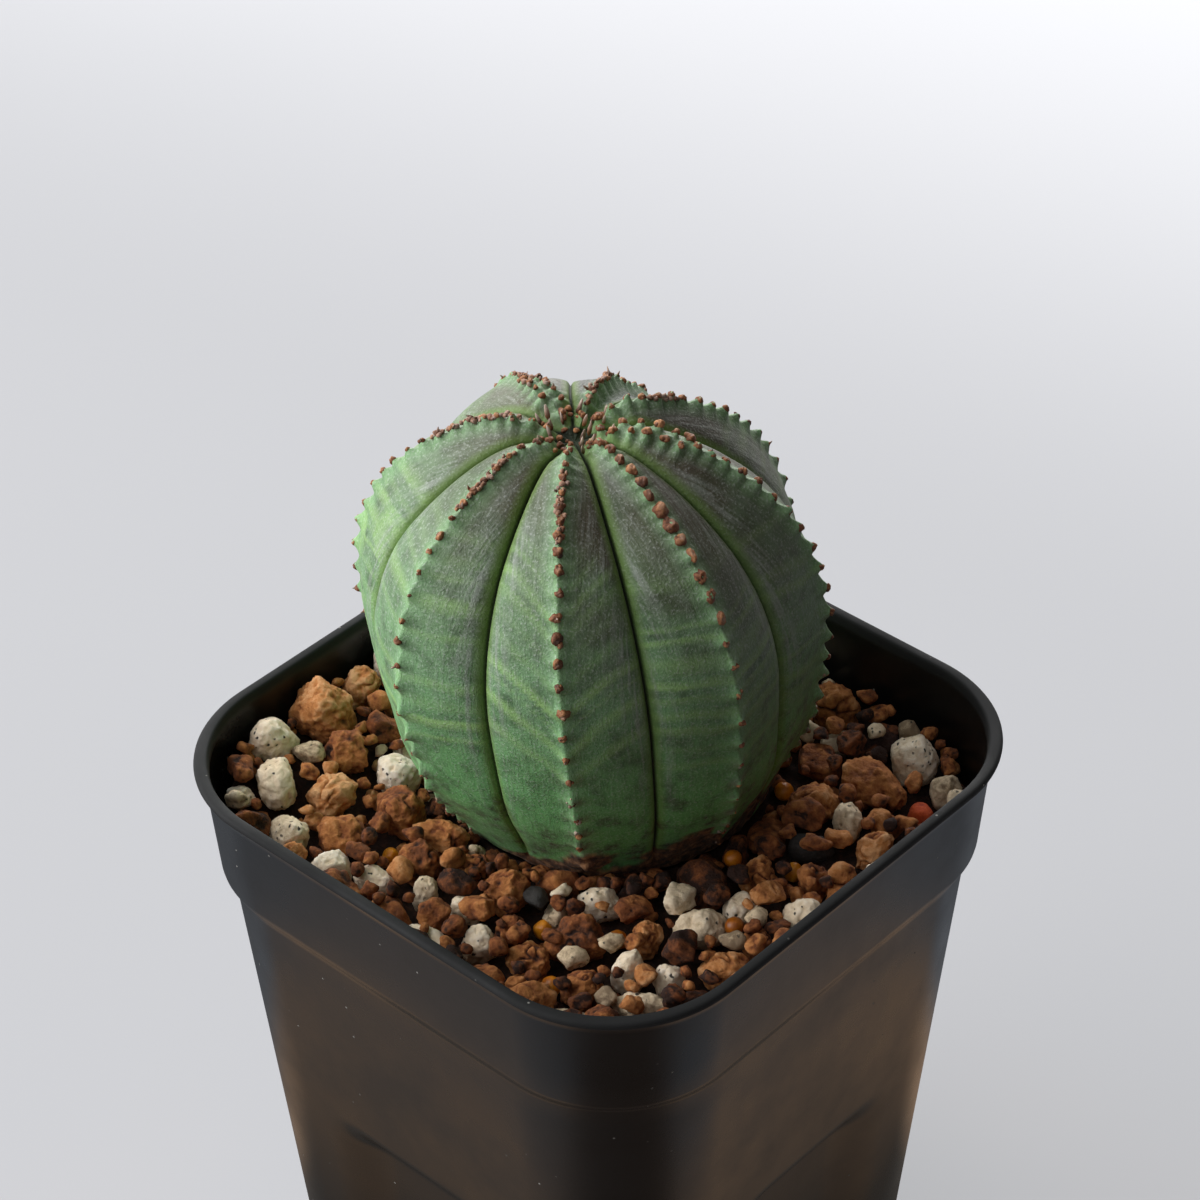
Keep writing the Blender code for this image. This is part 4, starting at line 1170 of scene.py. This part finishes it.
# broken grains in three sizes of mesh: points, faces, lumps and cracks
def grainShapes():
    shapes = {}
    for number in range(bedPlan["shapes"]):
        cuts = np.random.RandomState(number)
        flats = cuts.normal(size=(bedPlan["flats"], 3))
        flats /= np.linalg.norm(flats, axis=1)[:, None]
        offsets = cuts.uniform(0.6, 0.98, bedPlan["flats"])
        for size, (points, faces) in (("large", mediumBall), ("medium", smallBall), ("small", crumbBall)):
            spots = points + number * 5.3
            lumps = layeredNoise(spots, ((0.13, 0.8, 61), (0.09, 0.35, 62), (0.05, 0.16, 63)))
            cracks = crackField(spots, 0.6, 64) * smoothStep(softNoise(spots, 0.9, 65), -0.1, 0.5)
            reach = np.minimum(facetReach(points, flats, offsets, 18.0), 1.12) * (1.0 + lumps - 0.14 * cracks)
            shapes[size, number] = (points * reach[:, None], faces, lumps, cracks)
    return shapes


# which cells of the map a grain covers, and how far its underside hangs below its middle over each
def grainFootprint(reach, radius, squash):
    cells = int(reach / bedPlan["cell"])
    steps = np.arange(-cells, cells + 1) * bedPlan["cell"]
    away = np.add.outer(steps ** 2, steps ** 2)
    return away <= reach ** 2, np.sqrt(np.clip(1.0 - away / reach ** 2, 0.0, 1.0)) * radius * squash


# the hollowest of several random places where a grain fits: how far above the bed and at what height
# it would rest, where, how far from the stem, and the patch of the map under it
def hollowestPlace(dice, level, reach, disc, under):
    half, cell = bedPlan["half"], bedPlan["cell"]
    cells = len(disc) // 2
    best = None
    for _ in range(bedPlan["places"]):
        x, y = dice.uniform(-bedPlan["tryHalf"], bedPlan["tryHalf"], 2)
        if insideSquare(x, y, bedPlan["wallHalf"], bedPlan["wallCorner"]) - reach < bedPlan["wallGap"]:
            continue
        fromStem = math.hypot(x - plantShape["stemX"], y - plantShape["stemY"])
        if fromStem < bedPlan["stemRadius"]:
            continue
        i, j = int((x + half) / cell), int((y + half) / cell)
        patch = level[i - cells:i + cells + 1, j - cells:j + cells + 1]
        rest = np.where(disc, patch + under, -99.0).max()
        if fromStem < stemRadius(rest) + reach * bedPlan["flankGap"]:
            continue
        if best is None or rest - bedHeight(x) < best[0]:
            best = (rest - bedHeight(x), rest, x, y, fromStem, patch)
    return best


# a shape of the right fineness, stretched and turned at random
def turnedGrain(dice, kind, radius, stretch, shapes):
    size = "large" if radius > 2.0 else "medium" if radius > 1.1 else "small"
    points, faces, lumps, cracks = shapes[size, dice.randint(bedPlan["shapes"])]
    if kind == "prill":
        points, faces, lumps, cracks = *smallBall, 0.0, 0.0
    turn = np.array(Matrix.Rotation(dice.uniform(0, 6.28), 3, Vector(dice.normal(size=3))))
    shape = (points @ turn.T) * radius
    shape[:, 2] *= stretch[2]
    swing = dice.uniform(0, 6.28)
    spin = np.array([[math.cos(swing), -math.sin(swing)], [math.sin(swing), math.cos(swing)]])
    shape[:, :2] = (shape[:, :2] * stretch[:2]) @ spin.T
    return shape, faces, lumps, cracks


# grains dropped one by one into the hollows, each resting on what already lies there
def scatterGrains():
    dice = np.random.RandomState(bedPlan["seed"])
    level, shapes = bedMap(), grainShapes()
    heaps = {}
    placed = 0
    for kind, largest, smallest, tries in bedPlan["grains"]:
        heap = heaps.setdefault(kind, Heap())
        for _ in range(tries):
            radius = dice.uniform(smallest, largest)
            stretch = np.array([dice.uniform(0.8, 1.25), dice.uniform(0.8, 1.1), dice.uniform(0.7, 0.95)])
            if kind == "prill":
                stretch[:] = (1.0, 0.97, 0.97)
            reach = radius * stretch.max()
            disc, under = grainFootprint(reach, radius, stretch[2])
            best = hollowestPlace(dice, level, reach, disc, under)
            if best is None:
                continue
            above, rest, x, y, fromStem, patch = best
            nearStem = smoothStep(fromStem - bedPlan["stemRadius"] - 0.5 * reach, -1.0, 7.0)
            cover = bedPlan["coverAtStem"] + (bedPlan["cover"] - bedPlan["coverAtStem"]) * nearStem
            if above + radius * stretch[2] > cover + bedPlan["proud"] * radius:
                continue
            np.maximum(patch, np.where(disc, rest + under, -99.0), out=patch)
            shape, faces, lumps, cracks = turnedGrain(dice, kind, radius, stretch, shapes)
            # grains on the heap are drawn paler: painted light
            heap.add(shape + np.array([x, y, rest - bedPlan["sink"] * radius]), faces,
                     # cracks get painted shade in the material
                     shade=dice.uniform(-0.42, 0.1) + paintedLightOnHeap(x) + 1.1 * lumps, hollow=0.8 * cracks)
            placed += 1
    for kind, heap in heaps.items():
        if heap.total:
            heap.build("loose_" + kind, stoneMaterials[kind], kind)
    print("loose grains:", placed)


scatterGrains()


# Crumbled clay and dust under the grains: dark brown as painted shade in the gaps between them, matt, uneven.
def shadedGritDust():
    material, add, shader = newMaterial("shadedGritDust")
    place = add("TexCoord", out="Object")
    grain = add("TexNoise", {"Vector": place, "Scale": perMm(1.3), "Detail": 6.0, "Roughness": 0.7})
    tones = ((0.3, "#120905"), (0.55, "#331b0e"), (0.75, "#5a3420"))
    tone = add("ValToRGB", {"Fac": grain, "stops": tones})
    bump = add("Bump", {"Strength": 0.9, "Distance": 0.0008, "Height": grain})
    setNode(shader, {"Base Color": tone, "Roughness": 0.95, "Normal": bump})
    return material


soilMaterials = nodes["soil_bed"].data.materials
soilMaterials.clear()
soilMaterials.append(shadedGritDust())
print("soil bed dressed")
